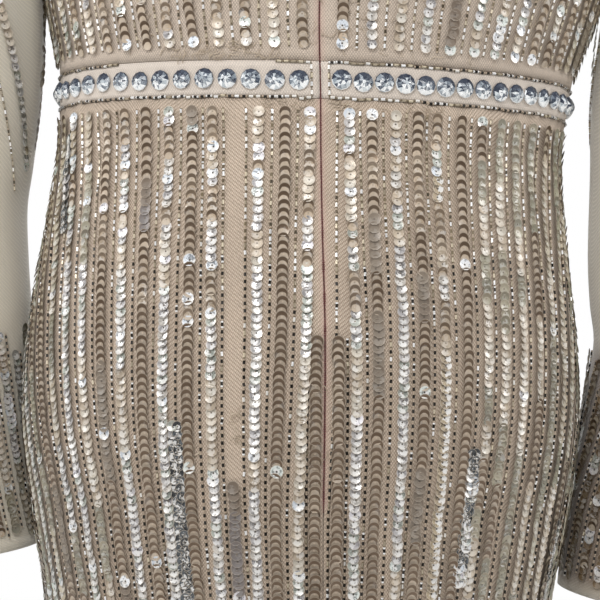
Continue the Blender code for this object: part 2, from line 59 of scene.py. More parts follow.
BODY = "gown"
SEAM_GAP = 0.0003
ZIP_GAP = 0.0008
BACK_RADIUS = 0.15
ZIP_GAP_TURN = ZIP_GAP / 2 / BACK_RADIUS  # half the zip's gap, as an angle round the body
SIDE_GAP_TURN = ZIP_GAP_TURN / 4
ZIP_END_Z = -0.630
WAIST_TOP_Z = -0.3956
WAIST_BOTTOM_Z = -0.4150
UNDERARM_Z = -0.220
HEM_Z = -1.445
FLUTES = 10
CUP_HEIGHT = 0.020
CUP_X = 0.078
CUP_Z = -0.268
CUP_RADIUS = 0.052
NECK_LEVEL_X = 0.040
CUFF_SLANT = 0.014
QUARTER = math.pi / 2
SLOPE_STEP = 1e-3

# Level sections of the body: height, half width, depth of front and back, the middle's shift, the seams'
# turn in degrees and the share by which the flutes swell.
SECTIONS = np.array((
    (-0.220, 0.1600, 0.108, 0.100, -0.0060, 0.0, 0.0),
    (-0.260, 0.1665, 0.113, 0.102, -0.0075, 0.0, 0.0),
    (-0.290, 0.1680, 0.114, 0.102, -0.0088, 0.0, 0.0),
    (-0.325, 0.1655, 0.111, 0.101, -0.0088, -0.4, 0.0),
    (-0.350, 0.1608, 0.107, 0.100, -0.0082, -0.7, 0.0),
    (-0.370, 0.1553, 0.104, 0.099, -0.0070, -0.4, 0.0),
    (-0.390, 0.1500, 0.102, 0.098, -0.0056, 0.4, 0.0),
    (-0.410, 0.1480, 0.101, 0.098, -0.0046, 1.2, 0.0),
    (-0.432, 0.1460, 0.102, 0.099, -0.0033, 2.0, 0.0),
    (-0.456, 0.1474, 0.105, 0.103, -0.0026, 2.6, 0.0),
    (-0.492, 0.1520, 0.110, 0.109, -0.0020, 3.4, 0.0),
    (-0.528, 0.1570, 0.114, 0.114, -0.0018, 4.1, 0.0),
    (-0.565, 0.1602, 0.117, 0.118, -0.0021, 4.3, 0.0),
    (-0.600, 0.1600, 0.118, 0.119, -0.0024, 4.4, 0.0),
    (-0.640, 0.1553, 0.116, 0.117, -0.0028, 4.6, 0.0),
    (-0.690, 0.1465, 0.112, 0.112, -0.0032, 5.2, 0.0),
    (-0.760, 0.1400, 0.108, 0.108, -0.0030, 5.5, 0.0),
    (-0.860, 0.1370, 0.107, 0.107, -0.0020, 5.0, 0.0),
    (-0.940, 0.1385, 0.110, 0.110, -0.0010, 5.0, 0.001),
    (-1.010, 0.1490, 0.122, 0.124, 0.0, 5.0, 0.006),
    (-1.100, 0.1790, 0.153, 0.158, 0.0, 5.0, 0.022),
    (-1.200, 0.2190, 0.192, 0.201, 0.0, 5.0, 0.046),
    (-1.300, 0.2590, 0.230, 0.243, 0.0, 5.0, 0.066),
    (-1.380, 0.2890, 0.258, 0.275, 0.0, 5.0, 0.080),
    (-1.445, 0.3110, 0.280, 0.300, 0.0, 5.0, 0.090),
))
BODICE_ROWS_Z = (WAIST_TOP_Z + SEAM_GAP, -0.370, -0.345, -0.317, -0.287, -0.255, UNDERARM_Z)
UNDERARM_ROW = len(BODICE_ROWS_Z) - 1

# Rows of the bodice above the underarm, +X half: the middle's shift, the inner point at the middle or the
# neckline, the outer point at the armhole, and how round the row is.
FRONT_YOKE = np.array((
    (-0.0055, 0.000, -0.1100, -0.187, 0.1560, -0.0300, -0.197, 0.9),
    (-0.0050, 0.000, -0.1060, -0.155, 0.1520, -0.0460, -0.166, 0.8),
    (-0.0040, 0.000, -0.0980, -0.124, 0.1510, -0.0520, -0.136, 0.7),
    (-0.0030, 0.000, -0.0885, -0.097, 0.1540, -0.0500, -0.109, 0.6),
    (-0.0020, 0.000, -0.0790, -0.074, 0.1600, -0.0420, -0.086, 0.5),
    (-0.0010, 0.040, -0.0680, -0.062, 0.1680, -0.0310, -0.066, 0.35),
    (0.0000, 0.059, -0.0420, -0.032, 0.1770, -0.0160, -0.049, 0.2),
    (0.0000, 0.066, -SEAM_GAP / 2, 0.015, 0.1850, -SEAM_GAP / 2, -0.035, 0.0),
))
BACK_YOKE = np.array((
    (-0.0055, 0.000, 0.1010, -0.185, 0.1570, 0.0300, -0.197, 0.9),
    (-0.0050, 0.000, 0.0990, -0.148, 0.1550, 0.0480, -0.166, 0.8),
    (-0.0040, 0.000, 0.0930, -0.111, 0.1560, 0.0560, -0.135, 0.7),
    (-0.0030, 0.000, 0.0840, -0.077, 0.1590, 0.0540, -0.108, 0.6),
    (-0.0020, 0.000, 0.0730, -0.047, 0.1650, 0.0450, -0.085, 0.5),
    (-0.0010, 0.000, 0.0620, -0.022, 0.1710, 0.0320, -0.066, 0.4),
    (0.0000, 0.042, 0.0420, -0.006, 0.1780, 0.0160, -0.049, 0.2),
    (0.0000, 0.066, SEAM_GAP / 2, 0.015, 0.1850, SEAM_GAP / 2, -0.035, 0.0),
))
TOP_ROW = UNDERARM_ROW + len(FRONT_YOKE)
BACK_NECK_ROW = UNDERARM_ROW + 6

# Level rings of each sleeve: height, the inner line's distance from the gown's middle, width, the ring's
# place forward and depth.
LEFT_SLEEVE = np.array((
    (-0.240, 0.1598, 0.104, 0.000, 0.104),
    (-0.262, 0.1625, 0.100, 0.000, 0.100),
    (-0.290, 0.1625, 0.098, -0.001, 0.098),
    (-0.325, 0.1600, 0.095, -0.004, 0.096),
    (-0.354, 0.1565, 0.093, -0.007, 0.094),
    (-0.400, 0.1570, 0.090, -0.011, 0.090),
    (-0.445, 0.1615, 0.086, -0.015, 0.088),
    (-0.470, 0.1645, 0.084, -0.017, 0.086),
    (-0.500, 0.1633, 0.082, -0.020, 0.084),
    (-0.530, 0.1612, 0.080, -0.023, 0.082),
    (-0.570, 0.1608, 0.079, -0.026, 0.080),
    (-0.610, 0.1600, 0.079, -0.029, 0.080),
    (-0.640, 0.1575, 0.082, -0.031, 0.082),
    (-0.672, 0.1535, 0.088, -0.033, 0.086),
))
RIGHT_SLEEVE = np.array((
    (-0.240, 0.1740, 0.104, 0.000, 0.104),
    (-0.262, 0.1780, 0.100, 0.000, 0.100),
    (-0.290, 0.1802, 0.098, -0.001, 0.098),
    (-0.325, 0.1780, 0.095, -0.004, 0.096),
    (-0.354, 0.1737, 0.093, -0.007, 0.094),
    (-0.400, 0.1706, 0.090, -0.011, 0.090),
    (-0.445, 0.1713, 0.086, -0.015, 0.088),
    (-0.492, 0.1720, 0.083, -0.020, 0.084),
    (-0.520, 0.1742, 0.082, -0.022, 0.083),
    (-0.540, 0.1773, 0.081, -0.024, 0.082),
    (-0.565, 0.1750, 0.080, -0.026, 0.081),
    (-0.600, 0.1710, 0.079, -0.028, 0.080),
    (-0.638, 0.1650, 0.081, -0.031, 0.081),
    (-0.690, 0.1620, 0.088, -0.034, 0.086),
))

# Soft folds pressed into the body's cloth: degrees round it, height, lean of the fold from upright in
# degrees, half its length and half its width, and depth (negative is a trough).
Crease = namedtuple("Crease", "turn z lean length width depth")
CREASES = (
    Crease(38, -0.452, 18, 0.030, 0.006, -0.0011),
    Crease(24, -0.470, 9, 0.052, 0.008, 0.0012),
    Crease(149, -0.455, -20, 0.034, 0.007, -0.0012),
    Crease(160, -0.480, -8, 0.060, 0.009, 0.0013),
    Crease(70, -0.440, 6, 0.022, 0.007, -0.0006),
    Crease(118, -0.446, -5, 0.026, 0.008, -0.0007),
    Crease(82, -0.700, 78, 0.050, 0.011, -0.0012),
    Crease(104, -0.735, 98, 0.062, 0.012, -0.0015),
    Crease(66, -0.790, 82, 0.055, 0.013, 0.0014),
    Crease(96, -0.845, 94, 0.070, 0.012, -0.0018),
    Crease(126, -0.880, 80, 0.050, 0.012, -0.0013),
    Crease(52, -0.900, 100, 0.050, 0.012, -0.0014),
    Crease(208, -0.455, 22, 0.036, 0.008, -0.0012),
    Crease(234, -0.448, 8, 0.030, 0.009, 0.0010),
    Crease(262, -0.445, -4, 0.026, 0.008, -0.0008),
    Crease(296, -0.450, -10, 0.034, 0.009, -0.0012),
    Crease(330, -0.458, -22, 0.040, 0.008, 0.0011),
    Crease(240, -0.560, 70, 0.052, 0.013, -0.0010),
    Crease(302, -0.585, 108, 0.056, 0.013, -0.0011),
    Crease(254, -0.760, 84, 0.060, 0.013, 0.0012),
    Crease(284, -0.830, 96, 0.066, 0.013, -0.0014),
    Crease(236, -0.905, 80, 0.048, 0.013, -0.0013),
    Crease(314, -0.915, 100, 0.052, 0.012, -0.0012),
    Crease(205, -0.330, 64, 0.034, 0.009, -0.0014),
    Crease(212, -0.290, 58, 0.040, 0.010, 0.0012),
    Crease(335, -0.330, 116, 0.034, 0.009, -0.0014),
    Crease(328, -0.285, 122, 0.040, 0.010, 0.0012),
    Crease(40, -0.345, 66, 0.036, 0.009, -0.0014),
    Crease(146, -0.338, 112, 0.036, 0.009, -0.0013),
    Crease(58, -0.270, 40, 0.044, 0.011, -0.0013),
    Crease(126, -0.262, 138, 0.044, 0.011, -0.0012),
)
SEAM_TROUGH = 0.0007
SEAM_TROUGH_WIDTH = 0.0024
SEAM_TINT_WIDTH = 0.0016
BODICE_ZIP_INSET = 0.0017
# How far the net of the waistband and of the bodice is paled towards white, as painted light.
BAND_PAINTED_LIGHT = 0.42
BODICE_PAINTED_LIGHT = 0.14
# Small waves beside the zip, which sway as they go up, and the gathers under the waistband.
PUCKER_DEPTH = 0.0005
PUCKER_PITCH = 0.021
PUCKER_WIDTH = 0.011
PUCKER_SWAY = 1.7
PUCKER_SWAY_RATE = 61
GATHERS = 57
GATHER_SWAY = 2
GATHER_SWAY_RATE = 7
GATHER_DEPTH = 0.0005
GATHER_REACH = 0.016
COIL_DEPTH = 0.0003
COIL_WIDTH = 0.0012

# Rows beside the back seam, in degrees round from it: where each runs at the waist and at the hip.
LEFT_BACK_ROWS = (
    (2.2, 4.8), (7.2, 9.0), (12.8, 12.8), (18.1, 16.6), (22.7, 20.3), (27.3, 25.0), (32.9, 29.9),
    (38.7, 33.7), (44.9, 38.0), (51.3, 42.4), (58.2, 46.9), (65.2, 51.5), (72.4, 56.2), (80.0, 61.0),
    (88.0, 65.8), (96.0, 70.6), (104.0, 75.4), (112.0, 80.1), (120.0, 84.8), (127.0, 88.4),
)
RIGHT_BACK_ROWS = (
    (5.8, 5.8), (10.5, 9.5), (15.6, 14.3), (20.6, 18.0), (25.1, 22.5), (31.1, 26.9), (36.6, 31.5),
    (42.1, 35.5), (47.6, 40.8), (54.2, 45.8), (60.8, 50.8), (67.6, 55.8), (74.8, 60.7), (82.4, 65.5),
    (90.4, 70.2), (98.4, 74.9), (106.4, 79.6), (114.4, 84.3), (121.5, 88.4),
)
SEAM_BEADS = (3.4, 0.85)
WAIST_ROWS_Z = -0.432
HIP_ROWS_Z = -0.635
BODICE_ROW_TURN = 5.67
BODICE_FIRST_TURN = {1: 3.3, -1: 4.6}
FRONT_ROWS = 21
FRONT_WAIST_TURN = 5.2
FRONT_HIP_TURN = 4.2
LAST_TURN = 88.6
GUSSET_ROW_Z = -0.540
GUSSET_TURN = {1: 1.7, -1: 2.5}
# More rows fill the gaps that open in the flare: where they start, and their degrees past the beads.
FILL_ROW_Z = -1.055
FILL_ROW_PAST = 0.9
FILL_BEADS_DROP = 0.03
# Rows of dark foil cups on both sides of a row of beads: the wearer's side and the row's number, then the
# heights between which it runs.
FOIL_ROWS = {(1, 5): (-0.586, -0.705), (-1, 5): (-0.597, -0.668), (1, 11): (-0.432, -0.486),
             (-1, 12): (-0.640, -0.720)}
FOIL_ROW_ASIDE = 0.5
BARE_ROW = 3  # the left row that starts low and leaves a bare strip above it
BARE_ROW_END_Z = -0.616
# The right back row whose gold cups carry their painted glare highlight at the side.
SIDE_GLARE_ROW = 4
SIDE_TURN = {1: 39, -1: 29}  # rows farther round than this have the sides' colours
ROWS_TOP_Z = -0.4205
ROWS_END_Z = -1.441
BODICE_ROWS_BOTTOM = 0.28


def curve(keys, rows, at):
    """Rows of a table read on smooth curves, where keys run upwards."""
    at = np.clip(np.asarray(at, dtype=float), keys[0], keys[-1])
    last = len(keys) - 1
    low = np.clip(np.searchsorted(keys, at, side="left"), 1, last)
    k0, k1, k2, k3 = (np.clip(low + step, 0, last) for step in (-2, -1, 0, 1))
    span = (keys[k2] - keys[k1])[..., None]
    t = (at[..., None] - keys[k1][..., None]) / span
    slope1 = (rows[k2] - rows[k0]) / (keys[k2] - keys[k0])[..., None] * span
    slope2 = (rows[k3] - rows[k1]) / (keys[k3] - keys[k1])[..., None] * span
    return (
        (2 * t**3 - 3 * t**2 + 1) * rows[k1] + (t**3 - 2 * t**2 + t) * slope1
        + (3 * t**2 - 2 * t**3) * rows[k2] + (t**3 - t**2) * slope2
    )


def section(z):
    """The columns of SECTIONS, read at heights."""
    return np.moveaxis(curve(-SECTIONS[:, 0], SECTIONS, -np.asarray(z, dtype=float)), -1, 0)


def cup(x, z):
    """How far the cut of a cup stands out of the front."""
    return CUP_HEIGHT * np.exp(-((np.abs(x) - CUP_X) ** 2 + (z - CUP_Z) ** 2) / CUP_RADIUS**2)


def body(angle, z):
    """Outer points at angles that the seams turn with: 0 at the +X side seam, a quarter turn at the back."""
    angle, z = np.broadcast_arrays(angle, z)
    _, half_width, front, back, centre_x, turn, fluting = section(z)
    angle = angle + np.radians(turn)
    ripple = 1 + fluting * np.cos(FLUTES * angle)
    x = half_width * ripple * np.cos(angle)
    y = np.where(np.sin(angle) > 0, back, front) * ripple * np.sin(angle)
    y = y + np.where(y < 0, cup(x, z) * np.sin(angle), 0.0)
    return np.stack((centre_x + x, y, z), -1)


def bodice(yoke, across, row):
    """Points of the front or back of the bodice: across runs from -1 to 1, and rows go up from the waist."""
    across, row = np.broadcast_arrays(np.asarray(across, dtype=float), np.asarray(row, dtype=float))
    back = 1.0 if yoke is BACK_YOKE else -1.0
    waist_z = np.interp(row, range(len(BODICE_ROWS_Z)), BODICE_ROWS_Z)
    below = body(back * (QUARTER - QUARTER * across), waist_z)
    _, half_width, front_depth, back_depth, centre_x, _, _ = section(UNDERARM_Z)
    depth = back_depth if back > 0 else front_depth
    first = (centre_x, 0.0, back * depth, UNDERARM_Z, half_width, 0.0, UNDERARM_Z, 1.0)
    rows = np.vstack((first, yoke))
    line = np.moveaxis(curve(np.arange(len(rows), dtype=float), rows, row - UNDERARM_ROW), -1, 0)
    shift, inner_x, inner_y, inner_z, outer_x, outer_y, outer_z, roundness = line
    out, side = np.abs(across), np.where(across < 0, -1.0, 1.0)
    turned = out * QUARTER
    share = (1 - roundness) * out + roundness * np.sin(turned)
    x = inner_x + (outer_x - inner_x) * share
    y = outer_y + (inner_y - outer_y) * np.cos(turned)
    level = np.maximum(1 - inner_x / NECK_LEVEL_X, 0.0)
    drop = level * (1 - np.cos(turned)) + (1 - level) * share
    z = inner_z + (outer_z - inner_z) * drop
    if back < 0:
        y = y - cup(x, z) * np.cos(turned)
    above = np.stack((shift + side * x, y, z), -1)
    return np.where((row < UNDERARM_ROW)[..., None], below, above)


def armhole(half):
    """Points round an armhole from the underarm up the front and down the back."""
    rows = np.arange(UNDERARM_ROW, TOP_ROW + 1)
    front = bodice(FRONT_YOKE, half, rows)
    back = bodice(BACK_YOKE, half, rows)
    front[0, 1] = front[-1, 1] = 0.0
    return np.vstack((front, back[-2:0:-1]))


def sleeve(table, half, around, place):
    """Points round a sleeve: around is 0 to 1, place runs from the armhole, 0, past the underarm, 1, to 2."""
    around, place = np.broadcast_arrays(np.asarray(around, dtype=float), np.asarray(place, dtype=float))
    hole = armhole(half)
    count = len(hole)
    ring = hole[np.arange(-2, count + 3) % count]
    point = curve(np.arange(-2.0, count + 3.0), ring, around % 1.0 * count)
    bottom_hole, top_hole = hole[0], hole[count // 2]
    cap = np.clip(place, 0.0, 1.0)
    arm = np.clip(place - 1.0, 0.0, 1.0)
    arm_top_z = table[1, 0]
    z = bottom_hole[2] + (arm_top_z - bottom_hole[2]) * cap + (table[-1, 0] - arm_top_z) * arm
    _, inner_x, width, centre_y, depth = np.moveaxis(curve(-table[:, 0], table, -z), -1, 0)
    bottom_x = abs(bottom_hole[0]) + (inner_x - abs(bottom_hole[0])) * np.minimum(cap * 3, 1.0)
    arm_top = z - CUFF_SLANT * arm**6
    lift = QUARTER * cap
    shoulder_x = abs(top_hole[0])
    top_x = shoulder_x + (inner_x + width - shoulder_x) * np.sin(lift)
    top_z = np.where(cap < 1.0, arm_top + (top_hole[2] - arm_top) * np.cos(lift), arm_top)
    hole_span = top_hole - bottom_hole
    share = (point - bottom_hole) @ hole_span / (hole_span @ hole_span)
    beside = np.abs(point[..., 0]) - abs(bottom_hole[0]) - share * (shoulder_x - abs(bottom_hole[0]))
    turned = 2 * math.pi * around
    share = share + ((1 - np.cos(turned)) / 2 - share) * cap
    sideways = point[..., 1] + (-depth / 2 * np.sin(turned) - point[..., 1]) * cap
    x = bottom_x + (top_x - bottom_x) * share + beside * (1 - cap) + SEAM_GAP
    return np.stack((half * x, centre_y + sideways, z + (top_z - z) * share), -1)


def body_relief(points):
    """Height of the folds, seam troughs and puckers over the body's plain form, at points on it."""
    x, y, z = np.moveaxis(points, -1, 0)
    values = section(np.maximum(z, HEM_Z))
    angle = np.degrees(np.arctan2(y / values[2], (x - values[4]) / values[1])) % 360
    radius = np.hypot(x - values[4], y)
    height = np.zeros_like(x)
    for crease in CREASES:
        across = np.radians((angle - crease.turn + 180) % 360 - 180) * radius
        up = z - crease.z
        lean = math.radians(crease.lean)
        along = up * math.cos(lean) + across * math.sin(lean)
        aside = across * math.cos(lean) - up * math.sin(lean)
        height += crease.depth * np.exp(-((along / crease.length) ** 2) - (aside / crease.width) ** 2)
    on_back = np.where(y > 0, 1.0, 0.0)
    from_seam = np.radians((angle - 90 - values[5] + 180) % 360 - 180) * radius
    height -= on_back * SEAM_TROUGH * np.exp(-((from_seam / SEAM_TROUGH_WIDTH) ** 2))
    phase = 2 * math.pi * z / PUCKER_PITCH + PUCKER_SWAY * np.sin(z * PUCKER_SWAY_RATE)
    pucker = np.sin(phase) * np.exp(-((from_seam / PUCKER_WIDTH) ** 2))
    height += on_back * PUCKER_DEPTH * pucker * (z > ZIP_END_Z)
    turned = np.radians(angle)
    gather = np.sin(turned * GATHERS + GATHER_SWAY * np.sin(turned * GATHER_SWAY_RATE))
    below_band = np.exp(-(((z - WAIST_BOTTOM_Z) / GATHER_REACH) ** 2)) * (z < WAIST_BOTTOM_Z)
    return height + GATHER_DEPTH * below_band * gather


# Long soft folds of the net sleeves: share of the way round and of the way down the arm, how far round the
# fold drifts as it falls, half its length and half its width as shares, and depth.
SleeveFold = namedtuple("SleeveFold", "around place drift length width depth")
SLEEVE_FOLDS = (
    SleeveFold(0.70, 1.22, 0.05, 0.34, 0.040, -0.0034),
    SleeveFold(0.80, 1.35, -0.04, 0.30, 0.045, 0.0026),
    SleeveFold(0.62, 1.48, 0.03, 0.26, 0.036, 0.0024),
    SleeveFold(0.90, 1.18, 0.06, 0.32, 0.045, -0.0030),
    SleeveFold(0.52, 1.30, -0.05, 0.30, 0.040, -0.0028),
    SleeveFold(0.30, 1.25, 0.05, 0.32, 0.042, -0.0030),
    SleeveFold(0.40, 1.42, -0.03, 0.30, 0.040, 0.0024),
    SleeveFold(0.18, 1.36, 0.04, 0.34, 0.045, 0.0022),
    SleeveFold(0.08, 1.50, -0.04, 0.26, 0.040, -0.0024),
    SleeveFold(0.75, 0.70, 0.10, 0.24, 0.050, -0.0030),
    SleeveFold(0.28, 0.74, -0.10, 0.24, 0.050, -0.0028),
    SleeveFold(0.66, 1.66, 0.02, 0.14, 0.038, -0.0018),
    SleeveFold(0.34, 1.70, -0.02, 0.14, 0.038, -0.0018),
)


def sleeve_relief(around, place):
    """Height of the folds over a sleeve's plain form."""
    height = np.zeros(np.broadcast(around, place).shape)
    for fold in SLEEVE_FOLDS:
        down = place - fold.place
        aside = (around - fold.around - fold.drift * down / fold.length + 0.5) % 1.0 - 0.5
        height += fold.depth * np.exp(-((down / fold.length) ** 2) - (aside / fold.width) ** 2)
    return height


class Cloth:
    """A surface in two parameters u and v, with its folds. facing is 1 where u, v and out are
    right-handed, and -1 where they are left-handed.
    """

    def __init__(self, plain, facing, relief):
        self.plain = plain
        self.facing = facing
        self.relief = relief

    def slopes(self, u, v):
        """Unit vectors along u and out of the cloth."""
        u, v = np.broadcast_arrays(np.asarray(u, dtype=float), np.asarray(v, dtype=float))
        along_u = self.plain(u + SLOPE_STEP, v) - self.plain(u - SLOPE_STEP, v)
        along_v = self.plain(u, v + SLOPE_STEP) - self.plain(u, v - SLOPE_STEP)
        out = np.cross(along_u, along_v) * self.facing
        return unit(along_u), unit(out)

    def points(self, u, v):
        place = self.plain(u, v)
        _, out = self.slopes(u, v)
        return place + out * self.relief(place, u, v)[..., None]


def unit(vectors):
    return vectors / np.maximum(np.linalg.norm(vectors, axis=-1, keepdims=True), 1e-12)


def on_body(place, u, v):
    return body_relief(place)


BACK = Cloth(lambda u, v: bodice(BACK_YOKE, u, v), -1, on_body)
FRONT = Cloth(lambda u, v: bodice(FRONT_YOKE, u, v), 1, on_body)
SKIRT = Cloth(body, 1, on_body)
SLEEVES = {
    half: Cloth(lambda u, v, table=table, half=half: sleeve(table, half, u, v), -half,
                lambda place, u, v: sleeve_relief(u, v))
    for half, table in ((1, LEFT_SLEEVE), (-1, RIGHT_SLEEVE))
}


# ---------------------------------------------------------------- materials


class Value:
    """An output socket in a finish, so that shader maths is written as arithmetic."""

    def __init__(self, finish, socket):
        self.finish = finish
        self.socket = socket

    def maths(self, operation, *others):
        return self.finish.add("ShaderNodeMath", {"operation": operation},
                               dict(enumerate((self, *others))))

    def __add__(self, other):
        return self.maths("ADD", other)

    def __mul__(self, other):
        return self.maths("MULTIPLY", other)

    def __sub__(self, other):
        return self.maths("SUBTRACT", other)

    def __rsub__(self, other):
        return self.finish.add("ShaderNodeMath", {"operation": "SUBTRACT"}, {0: other, 1: self})

    __radd__ = __add__
    __rmul__ = __mul__

    def step(self, low, high):
        """0 below low and 1 above high, smooth between."""
        return self.finish.add("ShaderNodeMapRange", {"interpolation_type": "SMOOTHSTEP"},
                               {"Value": self, "From Min": low, "From Max": high}, "Result")


class Finish:
    """A procedural material."""

    def __init__(self, name, **constants):
        self.material = bpy.data.materials.new(name)
        self.material.use_nodes = True
        self.tree = self.material.node_tree
        self.shader = self.tree.nodes["Principled BSDF"]
        for key, value in constants.items():
            self.shader.inputs[key.replace("_", " ").title().replace("Ior", "IOR")].default_value = value

    def add(self, kind, settings=(), inputs=(), output=0):
        """Adds a node and gives one of its outputs. Its settings come first, a ramp's stops among them, and
        then the values or links of its sockets.
        """
        node = self.tree.nodes.new(kind)
        for key, value in dict(settings).items():
            if key == "stops":
                ramp = node.color_ramp.elements
                while len(ramp) < len(value):
                    ramp.new(0.5)
                for element, (place, colour) in zip(ramp, value):
                    element.position = place
                    element.color = (*colour, 1.0)
            else:
                setattr(node, key, value)
        for key, value in dict(inputs).items():
            self.set(node.inputs[key], value)
        return Value(self, node.outputs[output])

    def set(self, socket, value):
        if isinstance(value, Value):
            self.tree.links.new(value.socket, socket)
        elif hasattr(value, "__len__") and len(value) == 3 and socket.type == "RGBA":
            socket.default_value = (*value, 1.0)
        else:
            socket.default_value = value

    def feed(self, key, value):
        self.set(self.shader.inputs[key], value)

    def attribute(self, name, output="Fac"):
        return self.add("ShaderNodeAttribute", {"attribute_name": name}, {}, output)

    def mix(self, share, first, second):
        node = self.tree.nodes.new("ShaderNodeMix")
        node.data_type = "RGBA"
        for key, value in ((0, share), (6, first), (7, second)):
            self.set(node.inputs[key], value)
        return Value(self, node.outputs[2])

    def scaled(self, colour, share):
        """A colour times a number, through Vector Math."""
        return self.add("ShaderNodeVectorMath", {"operation": "SCALE"}, {0: colour, "Scale": share})

    def noise(self, scale, detail=2.0):
        place = self.add("ShaderNodeTexCoord", {}, {}, "Object")
        return self.add("ShaderNodeTexNoise", {}, {"Vector": place, "Scale": scale, "Detail": detail})

    def axis(self, vector, name):
        return self.add("ShaderNodeSeparateXYZ", {}, {0: vector}, name)

    def bump(self, height, distance):
        self.feed("Normal", self.add("ShaderNodeBump", {}, {"Height": height, "Distance": distance,
                                                            "Strength": 1.0}, "Normal"))


DIAMOND_SQUAT = 0.7  # a diamond's width over its height
# The pale colour that painted light on the net mixes towards.
PAINTED_LIGHT_GROUND = (0.86, 0.80, 0.74)


def net_holes(finish, pitch):
    """Diamond net laid on the cloth's own UVs, which are in metres: 1 in the holes and 0 on the threads."""
    place = finish.add("ShaderNodeUVMap", {"uv_map": "cloth"}, {}, "UV")
    u, v = finish.axis(place, "X"), finish.axis(place, "Y")
    turns = math.pi / pitch
    first = (u * turns + v * (turns * DIAMOND_SQUAT)).maths("SINE")
    second = (u * turns - v * (turns * DIAMOND_SQUAT)).maths("SINE")
    return (first * second).maths("ABSOLUTE").step(0.10, 0.55)


def net_over_lining(settings, painted_light=0.0):
    """Net whose holes show the lining, tinted where the zip's tape shows through; its second argument is
    painted light that pales it.
    """
    finish = Finish("net_over_lining", roughness=0.72, sheen_weight=0.2, sheen_roughness=0.5)
    holes = net_holes(finish, settings.net_pitch)
    patches = finish.noise(22.0, 3.0).step(0.30, 0.70)
    lining = finish.mix(patches, settings.lining_colour, [c * 0.88 for c in settings.lining_colour])
    ground = finish.mix(holes, settings.net_colour, lining)
    ground = finish.scaled(ground, finish.noise(1400.0, 1.0).step(0.25, 0.75) * 0.30 + 0.85)
    # Painted light: the net is paled towards white.
    ground = finish.mix(painted_light, ground, PAINTED_LIGHT_GROUND)
    finish.feed("Base Color", finish.mix(finish.attribute("mark") * 0.55, ground, settings.seam_colour))
    finish.bump(1 - holes, 0.00012)
    return finish.material


def lining(settings):
    finish = Finish("lining", roughness=0.55, sheen_weight=0.2)
    patches = finish.noise(35.0, 3.0)
    finish.feed("Base Color", finish.mix(patches, settings.lining_colour,
                                         [c * 0.86 for c in settings.lining_colour]))
    finish.bump(finish.noise(900.0, 1.0), 0.00005)
    return finish.material


def sheer_net(settings):
    """See-through net of the sleeves, browner and closer behind the cuffs' rows, the right cuff's brown
    deepened as painted shade.
    """
    finish = Finish("sheer_net", roughness=0.8, sheen_weight=0.8, sheen_roughness=0.6)
    holes = net_holes(finish, settings.net_pitch)
    patches = finish.noise(16.0, 3.0)
    colour = finish.mix(patches, settings.sheer_colour, [c * 0.84 for c in settings.sheer_colour])
    cuff = finish.attribute("mark")
    colour = finish.mix(cuff, colour, settings.cuff_colour)
    finish.feed("Base Color", finish.scaled(colour, holes * 0.14 + 0.86))
    finish.feed("Alpha", 1 - holes * (1 - settings.sheer_cover) * (1 - cuff * 0.8))
    finish.bump(1 - holes, 0.0001)
    return finish.material


# Colours of painted light on a sequin: the brown of the painted shade in its upper arc, the white of its
# painted glare and the gold of the painted highlight on its rim.
ARC_SHADE_BROWN = (0.125, 0.083, 0.054)
GLARE_WHITE = (0.82, 0.805, 0.78)
RIM_HIGHLIGHT_GOLD = (0.62, 0.54, 0.44)
CLEAR_EYE = (0.06, 0.045, 0.035)
SMOKED_EYE = (0.52, 0.42, 0.32)


def sequin_finish():
    """Cup of clear lacquered film, with a rim lightened by painted highlight, a sewn eye, a brown arc of
    painted shade over smoked cups and a crumpled painted glare with painted dark reflections in it.
    """
    finish = Finish("sequin", specular_ior_level=0.4, coat_weight=0.15, coat_roughness=0.15)
    place = finish.add("ShaderNodeUVMap", {"uv_map": "disc"}, {}, "UV")
    x = finish.axis(place, "X") * 2 - 1.0
    y = finish.axis(place, "Y") * 2 - 1.0
    radius = (x * x + y * y).maths("SQRT")
    shade, dusk = finish.attribute("shade", "Color"), finish.attribute("shade", "Alpha")
    glint, swing = finish.attribute("glint"), finish.attribute("swing")
    rim = radius.step(0.84, 0.94)
    eye = 1 - radius.step(0.10, 0.20)
    crumple = finish.noise(430.0, 1.0) * 0.6 + finish.noise(1250.0, 1.0) * 0.4
    # The brown arc over the cup's upper half is painted shade, as strong as the shade attribute's alpha.
    below = y + 0.42
    painted_shade_arc = (x * x + below * below).maths("SQRT") + (crumple - 0.5) * 0.35
    painted_shade_arc = painted_shade_arc.step(0.64, 0.78) * (1 - rim * 0.5) * dusk
    colour = finish.mix(painted_shade_arc, shade, ARC_SHADE_BROWN)
    # Dark patches in the crumple are a painted dark reflection; the glare after them is a painted highlight.
    painted_dark_reflection = 1 - crumple.step(0.40, 0.50)
    colour = finish.mix(painted_dark_reflection * glint * 0.9, colour, finish.scaled(shade, 0.26))
    across = x - swing.maths("SINE") * 0.5
    down = y + swing.maths("COSINE") * 0.42
    reach = (across * across + down * down).maths("SQRT") - (crumple - 0.5) * 2.4
    glare = (1 - reach.step(0.42, 0.62)) * glint
    colour = finish.mix(glare, colour, GLARE_WHITE)
    # The rim is lightened by a painted highlight, more strongly on cups that glint.
    colour = finish.mix(rim * (0.25 + glint * 0.35), colour, RIM_HIGHLIGHT_GOLD)
    colour = finish.mix(eye, colour, finish.mix(dusk, CLEAR_EYE, SMOKED_EYE))
    finish.feed("Base Color", colour)
    finish.feed("Metallic", glare * 0.4 + painted_shade_arc * 0.8)
    finish.feed("Roughness", 0.42 - glint * 0.16)
    return finish.material


# Colours at a bead's cut ends: a dull beige, a white painted highlight that some dark beads' ends get, and
# the dark ends of bright beads.
DULL_END = (0.46, 0.37, 0.28)
END_HIGHLIGHT = (0.85, 0.84, 0.82)
DARK_BEAD_END = (0.19, 0.15, 0.095)


